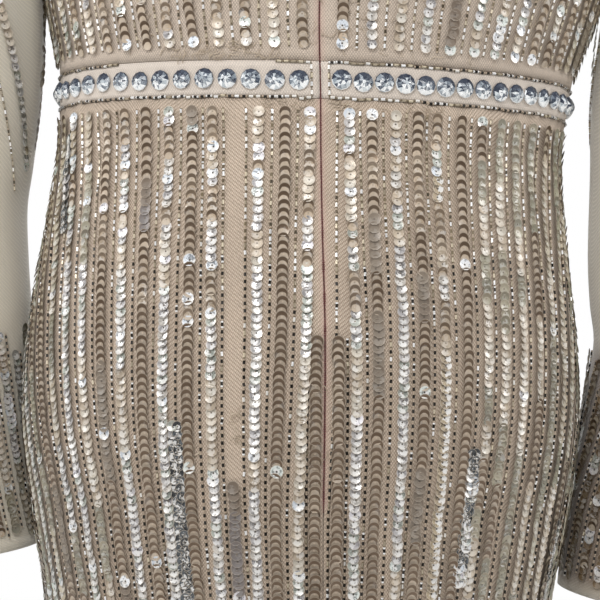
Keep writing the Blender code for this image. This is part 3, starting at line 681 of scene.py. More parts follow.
def bead_finish():
    """Silver-lined bugle bead: its middle has the bead's shade, a painted reflection, and its cut ends differ
    from it.
    """
    finish = Finish("bugle_bead", specular_ior_level=0.2, coat_weight=0.05, coat_roughness=0.1)
    place = finish.add("ShaderNodeUVMap", {"uv_map": "disc"}, {}, "UV")
    along = (finish.axis(place, "X") * 2 - 1.0).maths("ABSOLUTE")
    shade, dusk = finish.attribute("shade", "Color"), finish.attribute("shade", "Alpha")
    glint = finish.attribute("glint")
    ends = (along + dusk * 0.14).step(0.62, 0.70)
    # Some dark beads' ends carry the white painted highlight.
    speck = finish.mix(glint.step(0.75, 0.80), DULL_END, END_HIGHLIGHT)
    finish.feed("Base Color", finish.mix(ends, shade, finish.mix(dusk, DARK_BEAD_END, speck)))
    finish.feed("Metallic", glint * (1 - dusk) * (1 - ends) * 0.4)
    finish.feed("Roughness", 0.36 - glint * 0.12)
    return finish.material


# How light a facet's painted reflection is, from slate to silver, and its colour there.
CRYSTAL_REFLECTION_TONES = (
    (0.28, (0.016, 0.024, 0.046)), (0.40, (0.07, 0.09, 0.13)), (0.50, (0.27, 0.31, 0.35)),
    (0.62, (0.60, 0.65, 0.68)), (0.74, (0.96, 0.97, 0.97)),
)
FACET_STRIDE = 17.3
STONE_STRIDE = 9.7


def crystal_finish():
    """Foiled crystal: every facet's colour is a painted reflection of its own patch of the room, darker above
    and lighter below.
    """
    finish = Finish("crystal", ior=1.6, specular_ior_level=0.35, coat_weight=0.12,
                    coat_roughness=0.03, roughness=0.12)
    key = finish.add("ShaderNodeCombineXYZ", {}, {
        "X": finish.attribute("facet") * FACET_STRIDE, "Y": finish.attribute("glint") * STONE_STRIDE})
    patch = finish.add("ShaderNodeTexWhiteNoise", {"noise_dimensions": "2D"}, {"Vector": key})
    tone = patch * 0.66 + finish.attribute("tone") * 0.80 - 0.28
    finish.feed("Base Color", finish.add("ShaderNodeValToRGB", {"stops": CRYSTAL_REFLECTION_TONES}, {"Fac": tone}))
    return finish.material


COIL_REDS = ((0.13, 0.032, 0.034), (0.24, 0.085, 0.08))
THREAD_BROWNS = ((0.33, 0.25, 0.165), (0.62, 0.53, 0.42))
TAPE_REDS = ((0.24, 0.12, 0.10), (0.36, 0.21, 0.18))
TAPE_RIBS = 7000.0
METAL_TONES = ((0.60, 0.54, 0.44), (0.42, 0.37, 0.30))


def coil_finish():
    finish = Finish("zip_coil", roughness=0.45)
    finish.feed("Base Color", finish.mix(finish.noise(800.0), *COIL_REDS))
    return finish.material


def thread_finish():
    finish = Finish("thread", roughness=0.75)
    finish.feed("Base Color", finish.mix(finish.noise(700.0), *THREAD_BROWNS))
    return finish.material


def tape_finish():
    finish = Finish("zip_tape", roughness=0.7)
    place = finish.add("ShaderNodeTexCoord", {}, {}, "Object")
    ribs = (finish.axis(place, "Z") * TAPE_RIBS).maths("SINE")
    finish.feed("Base Color", finish.mix(ribs.step(-0.6, 0.8), *TAPE_REDS))
    finish.bump(ribs, 0.00006)
    return finish.material


def metal_finish():
    finish = Finish("zip_metal", metallic=0.9)
    wear = finish.noise(420.0, 4.0).step(0.35, 0.72)
    finish.feed("Base Color", finish.mix(wear, *METAL_TONES))
    finish.feed("Roughness", 0.24 + wear * 0.22)
    finish.bump(finish.noise(1500.0, 2.0), 0.00003)
    return finish.material


# ---------------------------------------------------------------- meshes


WELD_DISTANCE = 1e-6
SEAM_CROWDING = 1.45


def grid_mesh(name, points, facing, mark=None, first=None):
    """Mesh of a grid of points, with UVs in metres along its rows and columns. They are measured across
    from the column first, or else from the middle one.
    """
    rows, columns = points.shape[:2]
    index = np.arange(rows * columns).reshape(rows, columns)
    corners = np.stack((index[:-1, :-1], index[:-1, 1:], index[1:, 1:], index[1:, :-1]), -1)
    corners = corners.reshape(-1, 4)
    if facing < 0:
        corners = corners[:, ::-1]
    mesh = bpy.data.meshes.new(name)
    mesh.from_pydata(points.reshape(-1, 3), [], corners.tolist())
    along = np.linalg.norm(np.diff(points, axis=1), axis=-1)
    along = np.hstack((np.zeros((rows, 1)), np.cumsum(along, axis=1)))
    along -= along[:, columns // 2 if first is None else first][:, None]
    up = np.linalg.norm(np.diff(points, axis=0), axis=-1)
    up = np.vstack((np.zeros((1, columns)), np.cumsum(up, axis=0)))
    place = np.stack((along, up), -1).reshape(-1, 2)
    layer = mesh.uv_layers.new(name="cloth")
    layer.data.foreach_set("uv", place[corners.reshape(-1)].reshape(-1))
    if mark is not None:
        marks = np.broadcast_to(mark, (rows, columns)).astype(np.float32)
        mesh.attributes.new("mark", "FLOAT", "POINT").data.foreach_set("value", marks.reshape(-1))
    mesh.shade_smooth()
    return mesh


def zip_mark(points, column):
    """How much of the zip's tape shows through the cloth beside it."""
    away = np.abs(points[..., 0] - points[:, column:][:, :1, 0])
    return np.exp(-((away / SEAM_TINT_WIDTH) ** 2)) * (points[..., 2] > ZIP_END_Z)


def toward_seam(count):
    """Shares from 0 to 1 that lie closer together near 0, where a seam needs them."""
    return np.linspace(0.0, 1.0, count + 1) ** SEAM_CROWDING


def two_stretches(first, middle, last, low, high):
    """A column of steps from first to middle, low of them, and on to last, high of them."""
    steps = (np.linspace(first, middle, low), np.linspace(middle, last, high)[1:])
    return np.concatenate(steps)[:, None]


def grid_sizes(points):
    """Widest row, longest column and area of a grid."""
    across = np.linalg.norm(np.diff(points, axis=1), axis=-1)
    up = np.linalg.norm(np.diff(points, axis=0), axis=-1)
    first = np.cross(points[1:, 1:] - points[:-1, :-1], points[1:, :-1] - points[:-1, 1:])
    area = np.linalg.norm(first, axis=-1).sum() / 2
    return float(across.sum(1).max()), float(up.sum(0).max()), float(area)


def welded(meshes):
    """The meshes as one, closed where their points meet."""
    shape = bmesh.new()
    for mesh in meshes:
        shape.from_mesh(mesh)
    bmesh.ops.remove_doubles(shape, verts=shape.verts, dist=WELD_DISTANCE)
    shape.to_mesh(meshes[0])
    shape.free()
    return meshes[0]


def add_piece(name, mesh, nodes=()):
    piece = bpy.data.objects.new(name, mesh)
    bpy.context.scene.collection.objects.link(piece)
    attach(piece, BODY)
    if nodes:
        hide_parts(*nodes)
    return piece


def add_cloth(node, grids, facing, materials, thickness, weld=False, mark=None, first=None):
    """Thin shell of cloth over a grid, or over grids side by side."""
    name = node + "_cloth"
    meshes = [grid_mesh(name, points, facing, mark, first) for points in grids]
    mesh = welded(meshes) if weld else meshes[0]
    for material in materials:
        mesh.materials.append(material)
    piece = add_piece(name, mesh, (node,))
    shell = piece.modifiers.new("cloth", "SOLIDIFY")
    shell.thickness = thickness
    shell.offset = -1.0
    shell.material_offset = len(materials) - 1
    shell.material_offset_rim = len(materials) - 1
    widths, lengths, areas = zip(*map(grid_sizes, grids))


# Trims that are sewn on, one at each point of a row: where it sits, which way it faces, which way it is
# turned, its shade, how much painted shade darkens it (a cup's upper arc, whose eye it also smokes, and a
# whole dark bead), how much it glints, where round it the painted glare sits, and its size.
Trims = namedtuple("Trims", "place aim side shade dusk glint swing size")


def plain_trims(place, aim, side, size, shade):
    """Trims all of one shade, with no glint."""
    count = len(place)
    nothing = np.zeros(count)
    return Trims(place, aim, side, np.full((count, 3), shade), nothing, nothing, nothing, size)


def joined(rows):
    return Trims(*(np.concatenate(parts) for parts in zip(*rows)))


def sew_on(name, trims, trim, size, tilt, seed, material):
    """Sews a trim on at every point with Geometry Nodes and keeps the result as one plain mesh."""
    cloud = bpy.data.meshes.new(name + "_points")
    cloud.from_pydata(trims.place, [], [])
    for key, kind, values in (
        ("aim", "FLOAT_VECTOR", trims.aim), ("side", "FLOAT_VECTOR", trims.side),
        ("glint", "FLOAT", trims.glint), ("swing", "FLOAT", trims.swing), ("size", "FLOAT", trims.size),
        ("shade", "FLOAT_COLOR", np.hstack((trims.shade, trims.dusk[:, None]))),
    ):
        attribute = cloud.attributes.new(key, kind, "POINT")
        field = {"FLOAT": "value", "FLOAT_VECTOR": "vector", "FLOAT_COLOR": "color"}[kind]
        attribute.data.foreach_set(field, np.asarray(values, dtype=np.float32).reshape(-1))
    holder = bpy.data.objects.new(name + "_points", cloud)
    bpy.context.scene.collection.objects.link(holder)
    sewing = holder.modifiers.new("sewing", "NODES")
    sewing.node_group = sewing_tree()
    inputs = {item.name: item.identifier for item in sewing.node_group.interface.items_tree
              if item.in_out == "INPUT"}
    for key, value in (("Trim", trim), ("Size", size), ("Tilt", tilt), ("Seed", seed),
                       ("Material", material)):
        sewing[inputs[key]] = value
    graph = bpy.context.evaluated_depsgraph_get()
    mesh = bpy.data.meshes.new_from_object(holder.evaluated_get(graph), depsgraph=graph)
    mesh.name = name
    for key in ("aim", "side", "size"):
        if key in mesh.attributes:
            mesh.attributes.remove(mesh.attributes[key])
    bpy.data.objects.remove(holder)
    return add_piece(name, mesh)


def sewing_tree():
    """Node tree that puts a trim on every point, leans it a little at random and joins it all."""
    tree = bpy.data.node_groups.get("sew_on_trims")
    if tree:
        return tree
    tree = bpy.data.node_groups.new("sew_on_trims", "GeometryNodeTree")
    for name, kind in (("Points", "Geometry"), ("Trim", "Object"), ("Size", "Float"), ("Tilt", "Float"),
                       ("Seed", "Int"), ("Material", "Material")):
        tree.interface.new_socket(name, in_out="INPUT", socket_type="NodeSocket" + kind)
    tree.interface.new_socket("Sewn", in_out="OUTPUT", socket_type="NodeSocketGeometry")

    def node(kind, settings=(), inputs=()):
        made = tree.nodes.new(kind)
        for key, value in dict(settings).items():
            setattr(made, key, value)
        for key, value in dict(inputs).items():
            if isinstance(value, bpy.types.NodeSocket):
                tree.links.new(value, made.inputs[key])
            else:
                made.inputs[key].default_value = value
        return made

    def named(key, kind):
        made = node("GeometryNodeInputNamedAttribute", {"data_type": kind}, {"Name": key})
        return made.outputs["Attribute"]

    def tilt(sign):
        return node("ShaderNodeVectorMath", {"operation": "SCALE"},
                    {0: (sign, sign, 0.0), "Scale": asked["Tilt"]}).outputs[0]

    asked = node("NodeGroupInput").outputs
    facing = node("FunctionNodeAxesToRotation", {"primary_axis": "Z", "secondary_axis": "X"}, {
        "Primary Axis": named("aim", "FLOAT_VECTOR"), "Secondary Axis": named("side", "FLOAT_VECTOR")})
    lean = node("FunctionNodeRandomValue", {"data_type": "FLOAT_VECTOR"},
                {0: tilt(-1.0), 1: tilt(1.0), "Seed": asked["Seed"]})
    leaning = node("FunctionNodeEulerToRotation", {}, {0: lean.outputs[0]})
    turned = node("FunctionNodeRotateRotation", {"rotation_space": "LOCAL"},
                  {"Rotation": facing.outputs[0], "Rotate By": leaning.outputs[0]})
    scale = node("ShaderNodeMath", {"operation": "MULTIPLY"},
                 {0: asked["Size"], 1: named("size", "FLOAT")})
    source = node("GeometryNodeObjectInfo", {"transform_space": "ORIGINAL"}, {"Object": asked["Trim"]})
    placed = node("GeometryNodeInstanceOnPoints", {}, {
        "Points": asked["Points"], "Instance": source.outputs["Geometry"],
        "Rotation": turned.outputs[0], "Scale": scale.outputs[0]})
    real = node("GeometryNodeRealizeInstances", {}, {"Geometry": placed.outputs[0]})
    coated = node("GeometryNodeSetMaterial", {},
                  {"Geometry": real.outputs[0], "Material": asked["Material"]})
    node("NodeGroupOutput", {}, {"Sewn": coated.outputs[0]})
    return tree


SEQUIN_SIDES = 10
BEAD_SIDES = 4
THREAD_SIDES = 3
THREAD_BENDS = 5
THREAD_SWAY = 0.16
THREAD_RISE = 0.10
CRYSTAL_SIDES = 12
# Rings of a crystal one unit across: radius, height as a share of its rise, and turn in sides. The first
# three are its setting, which doesn't depend on the rise.
CRYSTAL_SETTING = ((0.47, -0.04, 0.0), (0.515, 0.06, 0.0), (0.475, 0.12, 0.0))
CRYSTAL_CROWN = ((0.28, 0.75, 0.5), (0.09, 1.0, 0.0))
FACET_NUMBERS = 60
TABLE_NUMBER = 0.37


def trim_object(name, shape):
    mesh = bpy.data.meshes.new(name)
    shape.to_mesh(mesh)
    shape.free()
    return bpy.data.objects.new(name, mesh)


def ring(sides, radius, shift=0.0):
    """Points spaced evenly round a circle."""
    turns = [2 * math.pi * (k + shift) / sides for k in range(sides)]
    return [(radius * math.cos(turn), radius * math.sin(turn)) for turn in turns]


def tube(shape, rings):
    """Faces that join each ring of corners to the next."""
    rings = [[shape.verts.new(corner) for corner in corners] for corners in rings]
    faces = []
    for lower, upper in zip(rings, rings[1:]):
        for k in range(len(lower)):
            after = (k + 1) % len(lower)
            faces.append(shape.faces.new((lower[k], lower[after], upper[after], upper[k])))
    return faces


def sequin_shape(cup_depth):
    """Cupped disc one unit across, opening along +Z, as a fan about its sewn eye."""
    shape = bmesh.new()
    disc = shape.loops.layers.uv.new("disc")
    eye = shape.verts.new((0.0, 0.0, 0.0))
    rim = [shape.verts.new((x, y, cup_depth)) for x, y in ring(SEQUIN_SIDES, 0.5)]
    for a, b in zip(rim, rim[1:] + rim[:1]):
        face = shape.faces.new((eye, a, b))
        face.smooth = True
        for loop in face.loops:
            loop[disc].uv = (loop.vert.co.x + 0.5, loop.vert.co.y + 0.5)
    return trim_object("sequin", shape)


def bead_shape(width):
    """Square-cut tube one unit long on Z with open ends, its UVs running along it."""
    shape = bmesh.new()
    disc = shape.loops.layers.uv.new("disc")
    ends = [[(x, y, height) for x, y in ring(BEAD_SIDES, width / 2)] for height in (-0.5, 0.5)]
    for k, face in enumerate(tube(shape, ends)):
        for loop in face.loops:
            loop[disc].uv = (loop.vert.co.z + 0.5, k / BEAD_SIDES)
    return trim_object("bead", shape)


def thread_shape(width):
    """Loose end of thread one unit long on X that lies in a shallow S."""
    shape = bmesh.new()
    rings = []
    for k in range(THREAD_BENDS + 1):
        along = k / THREAD_BENDS
        y, z = THREAD_SWAY * math.sin(along * 5.2), THREAD_RISE * math.sin(along * math.pi)
        rings.append([(along - 0.5, y + aside, z + up) for aside, up in ring(THREAD_SIDES, width)])
    tube(shape, rings)
    return trim_object("thread", shape)


def crystal_shape(rise):
    """Rose-cut stone one unit across: a setting, two rows of facets and a small table. Each facet carries
    its number and the tone of its painted reflection, which is darker towards the stone's top.
    """
    shape = bmesh.new()
    number = shape.verts.layers.float.new("facet")
    tone = shape.verts.layers.float.new("tone")
    levels = (*CRYSTAL_SETTING, *((radius, rise * share, shift) for radius, share, shift in CRYSTAL_CROWN))
    rings = [[(x, y, height) for x, y in ring(CRYSTAL_SIDES, radius, shift)]
             for radius, height, shift in levels]

    def facet(corners, value):
        made = [shape.verts.new(corner) for corner in corners]
        middle = sum(corner[1] for corner in corners) / len(corners)
        for vert in made:
            vert[number] = value
            vert[tone] = 0.5 - middle
        shape.faces.new(made)

    count = 0
    for level, (lower, upper) in enumerate(zip(rings, rings[1:])):
        for k in range(CRYSTAL_SIDES):
            after = (k + 1) % CRYSTAL_SIDES
            count += 1
            low, low_after, high, high_after = lower[k], lower[after], upper[k], upper[after]
            if level < 2:
                facet((low, low_after, high_after, high), 0.93 + 0.01 * (k % 3))
                continue
            if level == 2:
                halves = (low, low_after, high), (low_after, high_after, high)
            else:
                halves = (low, high_after, high), (low, low_after, high_after)
            facet(halves[0], count / FACET_NUMBERS)
            facet(halves[1], (count + 0.5) / FACET_NUMBERS)
    facet(rings[-1], TABLE_NUMBER)
    return trim_object("crystal", shape)


# ---------------------------------------------------------------- rows of trims

# A kind of sequin: its shades, how strongly painted shade darkens its upper arc and how much painted glare it
# has, both as ranges, how far it leans forward in radians, and its size against the usual one.
Kind = namedtuple("Kind", "shades dusk glint lean size")
SEQUIN_KINDS = {
    "pearl": Kind(((0.50, 0.475, 0.46), (0.43, 0.41, 0.41), (0.55, 0.51, 0.46), (0.41, 0.43, 0.38)),
                  (0.0, 0.3), (0.45, 1.0), 0.20, 0.90),
    "gold": Kind(((0.52, 0.43, 0.325), (0.58, 0.50, 0.40), (0.44, 0.36, 0.27), (0.60, 0.54, 0.45)),
                 (0.10, 0.45), (0.15, 0.55), 0.14, 0.92),
    "copper": Kind(((0.52, 0.41, 0.30), (0.45, 0.35, 0.25), (0.56, 0.46, 0.35)),
                   (0.60, 0.95), (0.05, 0.40), -0.15, 0.95),
    "smoke": Kind(((0.48, 0.385, 0.29), (0.42, 0.335, 0.25), (0.53, 0.43, 0.325)),
                  (0.90, 1.0), (0.0, 0.12), -0.20, 1.0),
    "taupe": Kind(((0.19, 0.148, 0.112), (0.24, 0.195, 0.15), (0.20, 0.175, 0.165)),
                  (0.05, 0.40), (0.0, 0.10), 0.04, 1.0),
    # Gold cups whose painted glare highlight sits at their side.
    "edged": Kind(((0.46, 0.375, 0.26), (0.41, 0.33, 0.235)), (0.0, 0.1), (0.80, 0.95), 0.14, 0.95),
    "bronze": Kind(((0.185, 0.124, 0.068), (0.27, 0.188, 0.108), (0.125, 0.082, 0.046)),
                   (0.2, 0.8), (0.0, 0.55), 0.06, 0.86),
    "moss": Kind(((0.34, 0.315, 0.235), (0.42, 0.38, 0.285), (0.29, 0.275, 0.215)),
                 (0.15, 0.60), (0.0, 0.45), -0.06, 0.96),
    "foil": Kind(((0.045, 0.047, 0.050), (0.10, 0.11, 0.12)), (0.0, 0.0), (0.75, 1.0), 0.0, 0.90),
    "flash": Kind(((0.84, 0.85, 0.87), (0.68, 0.72, 0.77), (0.76, 0.73, 0.76), (0.70, 0.74, 0.70)),
                  (0.0, 0.0), (0.9, 1.0), 0.10, 1.0),
}
# What a row is made of: kinds, the share of each near the waist and from the hips down, the least and most
# cups in a run of one kind in both places, and how often a run begins or ends with a bright cup.
Blend = namedtuple("Blend", "kinds upper lower upper_run lower_run flash")
CUFF_SHARES = (0.60, 0.24, 0.08, 0.08)
BLENDS = {
    "pearl": Blend(("pearl", "copper", "gold"), (0.38, 0.36, 0.26), (0.80, 0.04, 0.16),
                   (1, 4), (5, 14), 0.20),
    "smoke": Blend(("smoke", "taupe", "copper"), (0.62, 0.12, 0.26), (0.72, 0.28, 0.0),
                   (3, 9), (4, 14), 0.16),
    "edged": Blend(("pearl", "copper", "gold", "edged"), (0.38, 0.36, 0.26, 0.0), (0.0, 0.0, 0.08, 0.92),
                   (1, 4), (6, 16), 0.06),
    "gold_side": Blend(("gold", "moss", "smoke"), (0.50, 0.30, 0.20), (0.46, 0.40, 0.14),
                       (3, 9), (4, 12), 0.02),
    "side": Blend(("gold", "moss", "pearl", "smoke"), (0.36, 0.34, 0.18, 0.12), (0.36, 0.38, 0.16, 0.10),
                  (2, 8), (3, 10), 0.08),
    "bodice": Blend(("pearl", "gold", "copper", "smoke"), (0.40, 0.34, 0.16, 0.10),
                    (0.40, 0.34, 0.16, 0.10), (1, 5), (1, 5), 0.12),
    "foil": Blend(("foil", "flash", "pearl"), (0.8, 0.12, 0.08), (0.8, 0.12, 0.08), (1, 3), (1, 3), 0.0),
    "brown": Blend(("bronze", "copper"), (0.7, 0.3), (0.7, 0.3), (1, 4), (1, 4), 0.0),
    "cuff": Blend(("bronze", "copper", "pearl", "flash"), CUFF_SHARES, CUFF_SHARES, (1, 4), (1, 4), 0.06),
    "bright_cuff": Blend(("pearl", "gold", "flash"), (0.6, 0.25, 0.15), (0.6, 0.25, 0.15),
                         (1, 5), (1, 5), 0.2),
}
STEADY_KINDS = ("smoke", "taupe")  # one shade to a run
# Shades of the silver-lined beads as painted reflection: bright ones tinted by their glass, black ones below
# and olive-dark ones above.
BRIGHT_REFLECTION_BEADS = np.array(((0.84, 0.82, 0.78), (0.66, 0.58, 0.44), (0.92, 0.92, 0.92), (0.42, 0.36, 0.27)))
DARK_REFLECTION_BEADS = np.array(((0.010, 0.009, 0.008), (0.020, 0.017, 0.014), (0.035, 0.032, 0.030)))
OLIVE_REFLECTION_BEADS = np.array(((0.13, 0.10, 0.062), (0.20, 0.16, 0.10), (0.07, 0.055, 0.035)))
# Painted shade, tinted grey-green, on trims that face away to the sides: its colour, and the sideways share
# of the facing over which it comes in.
SIDE_SHADE_TINT = np.array((0.82, 0.88, 0.80))
SIDE_SHADE_FROM = 0.72
SIDE_SHADE_SPAN = 0.22
# Where round these cups the painted glare highlight sits.
SIDE_GLARE_SWING = 1.35
LOW_FROM_Z = -0.45
LOW_SPAN = 0.11
# How much darker the cups are from the hips down: painted shade, as the light falls off downwards.
LOW_PAINTED_SHADE = 0.16
LEAN_SPREAD = 0.05
RUN_ROLL = 0.24
ROLL_SPREAD = 0.03
ASIDE_SPREAD = 0.00022
SWING_SPREAD = 0.6
# Height below which most beads are painted dark, as painted reflection.
BEADS_REFLECT_DARK_BELOW_Z = -0.495
BEADS_REFLECT_DARK_SPAN = 0.020
BEAD_SWAY = 0.05
# How much darker the right sleeve's sequins are, and how much less they glint: painted shade.
RIGHT_SLEEVE_PAINTED_SHADE = 0.06


def picked(rng, shades, count):
    """A shade drawn for each trim."""
    return shades[rng.integers(0, len(shades), count)]


def walk(cloth, u, v, pitch, tighten=0.0):
    """Steps along the line that u and v draw on a cloth, closer together below the waist."""
    u, v = np.broadcast_arrays(np.asarray(u, dtype=float), np.asarray(v, dtype=float))
    points = cloth.points(u, v)
    steps = np.linalg.norm(np.diff(points, axis=0), axis=-1)
    pitches = pitch * (1 - tighten * low_share(points[1:, 2]))
    counts = np.concatenate(((0.0,), np.cumsum(steps / pitches)))
    at = np.arange(0.5, counts[-1], 1.0)
    return np.interp(at, counts, u), np.interp(at, counts, v)


def low_share(z):
    """0 at the waist and above, 1 from the hips down."""
    return np.clip((LOW_FROM_Z - z) / LOW_SPAN, 0.0, 1.0)


def runs(rng, count, shortest, longest):
    """Numbers the run that each trim of a row belongs to."""
    lengths = rng.integers(shortest, longest + 1, count)
    return np.repeat(np.arange(count), lengths)[:count]


def laid(cloth, u, v, lift, lean, roll):
    """Places and axes of flat trims on a cloth, each leaning forward and rolled to the side."""
    side, out = cloth.slopes(u, v)
    place = cloth.points(u, v) + out * lift
    up = np.cross(out, side)
    up *= np.where(up[..., 2:3] < 0, -1.0, 1.0)
    side = np.cross(up, out)
    lean, roll = lean[:, None], roll[:, None]
    aim = unit(out * np.cos(lean) + up * np.sin(lean) + side * np.sin(roll))
    return place, aim, side


def painted_side_shade(aim):
    """Painted shade, with a grey-green cast, on the trims that face away to the sides."""
    share = np.clip((np.abs(aim[:, :1]) - SIDE_SHADE_FROM) / SIDE_SHADE_SPAN, 0.0, 1.0)
    return 1 + (SIDE_SHADE_TINT - 1) * share


def sequin_row(cloth, u, v, blend_name, settings, rng, painted_darkness=0.0):
    """Row of overlapping cups in runs of a kind, after the row's blend."""
    u, v = walk(cloth, u, v, settings.pitch * rng.uniform(0.95, 1.05), settings.tighten)
    count = len(u)
    if count == 0:
        return None
    place = cloth.plain(u, v)
    low = low_share(place[:, 2])
    blend = BLENDS[blend_name]
    run = np.where(low < 0.5, runs(rng, count, *blend.upper_run),
                   count + runs(rng, count, *blend.lower_run))
    shares = np.array(blend.upper) + low[:, None] * (np.array(blend.lower) - blend.upper)
    drawn = rng.random(2 * count)[run]
    chosen = (drawn[:, None] > np.cumsum(shares, axis=1)[:, :-1]).sum(axis=1)
    first = np.concatenate(((True,), np.diff(run) != 0))
    flash = (first | np.roll(first, -1)) & (rng.random(count) < blend.flash)
    names = np.where(flash, "flash", np.array(blend.kinds)[chosen])
    shade, dusk, glint = np.zeros((count, 3)), np.zeros(count), np.zeros(count)
    lean, size = np.zeros(count), np.zeros(count)
    steady = rng.random(2 * count)[run]
    for name, kind in SEQUIN_KINDS.items():
        here = names == name
        shades = np.array(kind.shades)
        one = shades[(steady * len(shades)).astype(int)]
        shade[here] = (one if name in STEADY_KINDS else picked(rng, shades, count))[here]
        dusk[here] = rng.uniform(*kind.dusk, count)[here]
        glint[here] = rng.uniform(*kind.glint, count)[here]
        lean[here], size[here] = kind.lean, kind.size
    swing = np.where(names == "edged", SIDE_GLARE_SWING, rng.normal(0, SWING_SPREAD, count))
    lean = lean + rng.normal(0, LEAN_SPREAD, count)
    roll = (rng.random(2 * count)[run] - 0.5) * RUN_ROLL + rng.normal(0, ROLL_SPREAD, count)
    place, aim, side = laid(cloth, u, v, settings.lift, lean, roll)
    place = place + side * rng.normal(0, ASIDE_SPREAD, count)[:, None]
    # Cups that face away to the sides, and cups on a darkened panel, get painted shade.
    shade = shade * painted_side_shade(aim) * (1 - painted_darkness) * rng.uniform(0.88, 1.08, count)[:, None]
    # Cups from the hips down are darkened as painted shade.
    shade = shade * (1 - LOW_PAINTED_SHADE * low[:, None])
    return Trims(place, aim, side, shade, dusk, glint * (1 - painted_darkness), swing,
                 size * rng.uniform(0.96, 1.04, count))


def bead_row(cloth, u, v, settings, rng):
    """Row of bugle beads end to end, painted as reflection: mostly bright above and mostly dark below."""
    u, v = walk(cloth, u, v, settings.pitch)
    count = len(u)
    if count == 0:
        return None
    side, out = cloth.slopes(u, v)
    place = cloth.points(u, v) + out * settings.width / 2
    up = unit(np.gradient(place, axis=0)) if count > 1 else np.cross(out, side)
    low = 1 / (1 + np.exp((place[:, 2] - BEADS_REFLECT_DARK_BELOW_Z) / BEADS_REFLECT_DARK_SPAN))
    dark = rng.random(count) < 0.14 + 0.76 * low
    shade = np.where(dark[:, None], picked(rng, DARK_REFLECTION_BEADS, count), picked(rng, BRIGHT_REFLECTION_BEADS, count))
    shade = np.where((dark & (low < 0.5))[:, None], picked(rng, OLIVE_REFLECTION_BEADS, count), shade)
    sway = up + side * rng.normal(0, BEAD_SWAY, count)[:, None]
    glint = np.where(dark, rng.random(count) > 0.85, rng.uniform(0.3, 1.0, count))
    size = np.where(dark, 1.02, rng.uniform(0.86, 0.98, count))
    return Trims(place, unit(sway), side, shade, dark * 1.0, glint, np.zeros(count), size)


SKIRT_LINE_STEPS = 260


def row_turn(waist, hip, z):
    """Degrees from the seam of a row that moves evenly from the waist to the hip."""
    share = np.clip((WAIST_ROWS_Z - np.asarray(z)) / (WAIST_ROWS_Z - HIP_ROWS_Z), 0.0, 1.0)
    return waist + (hip - waist) * share


def skirt_line(half, middle, waist, hip, top, bottom):
    """Angles and heights of a row of the skirt, as far as it stays clear of the side seam."""
    z = np.linspace(top, bottom, SKIRT_LINE_STEPS)
    turn = row_turn(waist, hip, z)
    inside = np.abs(turn) <= LAST_TURN
    z, turn = z[inside], turn[inside]
    return middle - half * math.copysign(1.0, middle) * np.radians(turn), z


class RowPlan:
    """Where the rows of one panel run: a list of (u, v, blend) for sequins and of (u, v) for beads."""

    def __init__(self, cloth):
        self.cloth = cloth
        self.sequins = []
        self.beads = []


def skirt_plan(half, middle):
    """Rows of a quarter of the skirt. middle is the angle of the centre back or centre front."""
    plan = RowPlan(SKIRT)
    back = middle > 0
    if back:
        rows = LEFT_BACK_ROWS if half > 0 else RIGHT_BACK_ROWS
    else:
        rows = [((k + 0.5) * FRONT_WAIST_TURN, (k + 0.5) * FRONT_HIP_TURN) for k in range(FRONT_ROWS)]

    def line(waist, hip, top=ROWS_TOP_Z, bottom=ROWS_END_Z):
        return skirt_line(half, middle, waist, hip, top, bottom)

    for number, (waist, hip) in enumerate(rows):
        blend = "pearl" if number % 2 == 0 else "smoke"
        if back and half < 0 and number == SIDE_GLARE_ROW:
            blend = "edged"
        elif back and hip > SIDE_TURN[half]:
            blend = "gold_side" if half < 0 else ("side", "smoke", "side", "pearl")[number % 4]
        bare = back and half > 0 and number == BARE_ROW
        plan.sequins.append((*line(waist, hip, BARE_ROW_END_Z if bare else ROWS_TOP_Z), blend))
        if number + 1 < len(rows):
            next_waist, next_hip = rows[number + 1]
            mid_waist, mid_hip = (waist + next_waist) / 2, (hip + next_hip) / 2
            plan.beads.append(line(mid_waist, mid_hip))
            foil = FOIL_ROWS.get((half, number)) if back else None
            if foil:
                for aside in (-FOIL_ROW_ASIDE, FOIL_ROW_ASIDE):
                    plan.sequins.append((*line(mid_waist + aside, mid_hip + aside, *foil), "foil"))
            fill_blend = "pearl" if number % 4 < 2 else "smoke"
            plan.sequins.append((*line(mid_waist, mid_hip + FILL_ROW_PAST, FILL_ROW_Z), fill_blend))
            plan.beads.append(line(waist * 0.7 + next_waist * 0.3, hip * 0.76 + next_hip * 0.24,
                                   FILL_ROW_Z - FILL_BEADS_DROP))
    if back:
        turn = GUSSET_TURN[half]
        plan.sequins.append((*line(turn, turn, GUSSET_ROW_Z), "smoke"))
        beside = (turn + rows[0][1]) / 2
        plan.beads.append(line(beside, beside, GUSSET_ROW_Z))
        if half < 0:
            plan.beads.append(line(*SEAM_BEADS))
    else:
        plan.beads.append(line(0.0 if half > 0 else 0.01, 0.0))
    return plan


# Steps along a row of the bodice: up to the underarm, above it, and across to find where each one lies.
BODICE_LOW_STEPS = 60
BODICE_HIGH_STEPS = 110
BODICE_CROSS_STEPS = 120


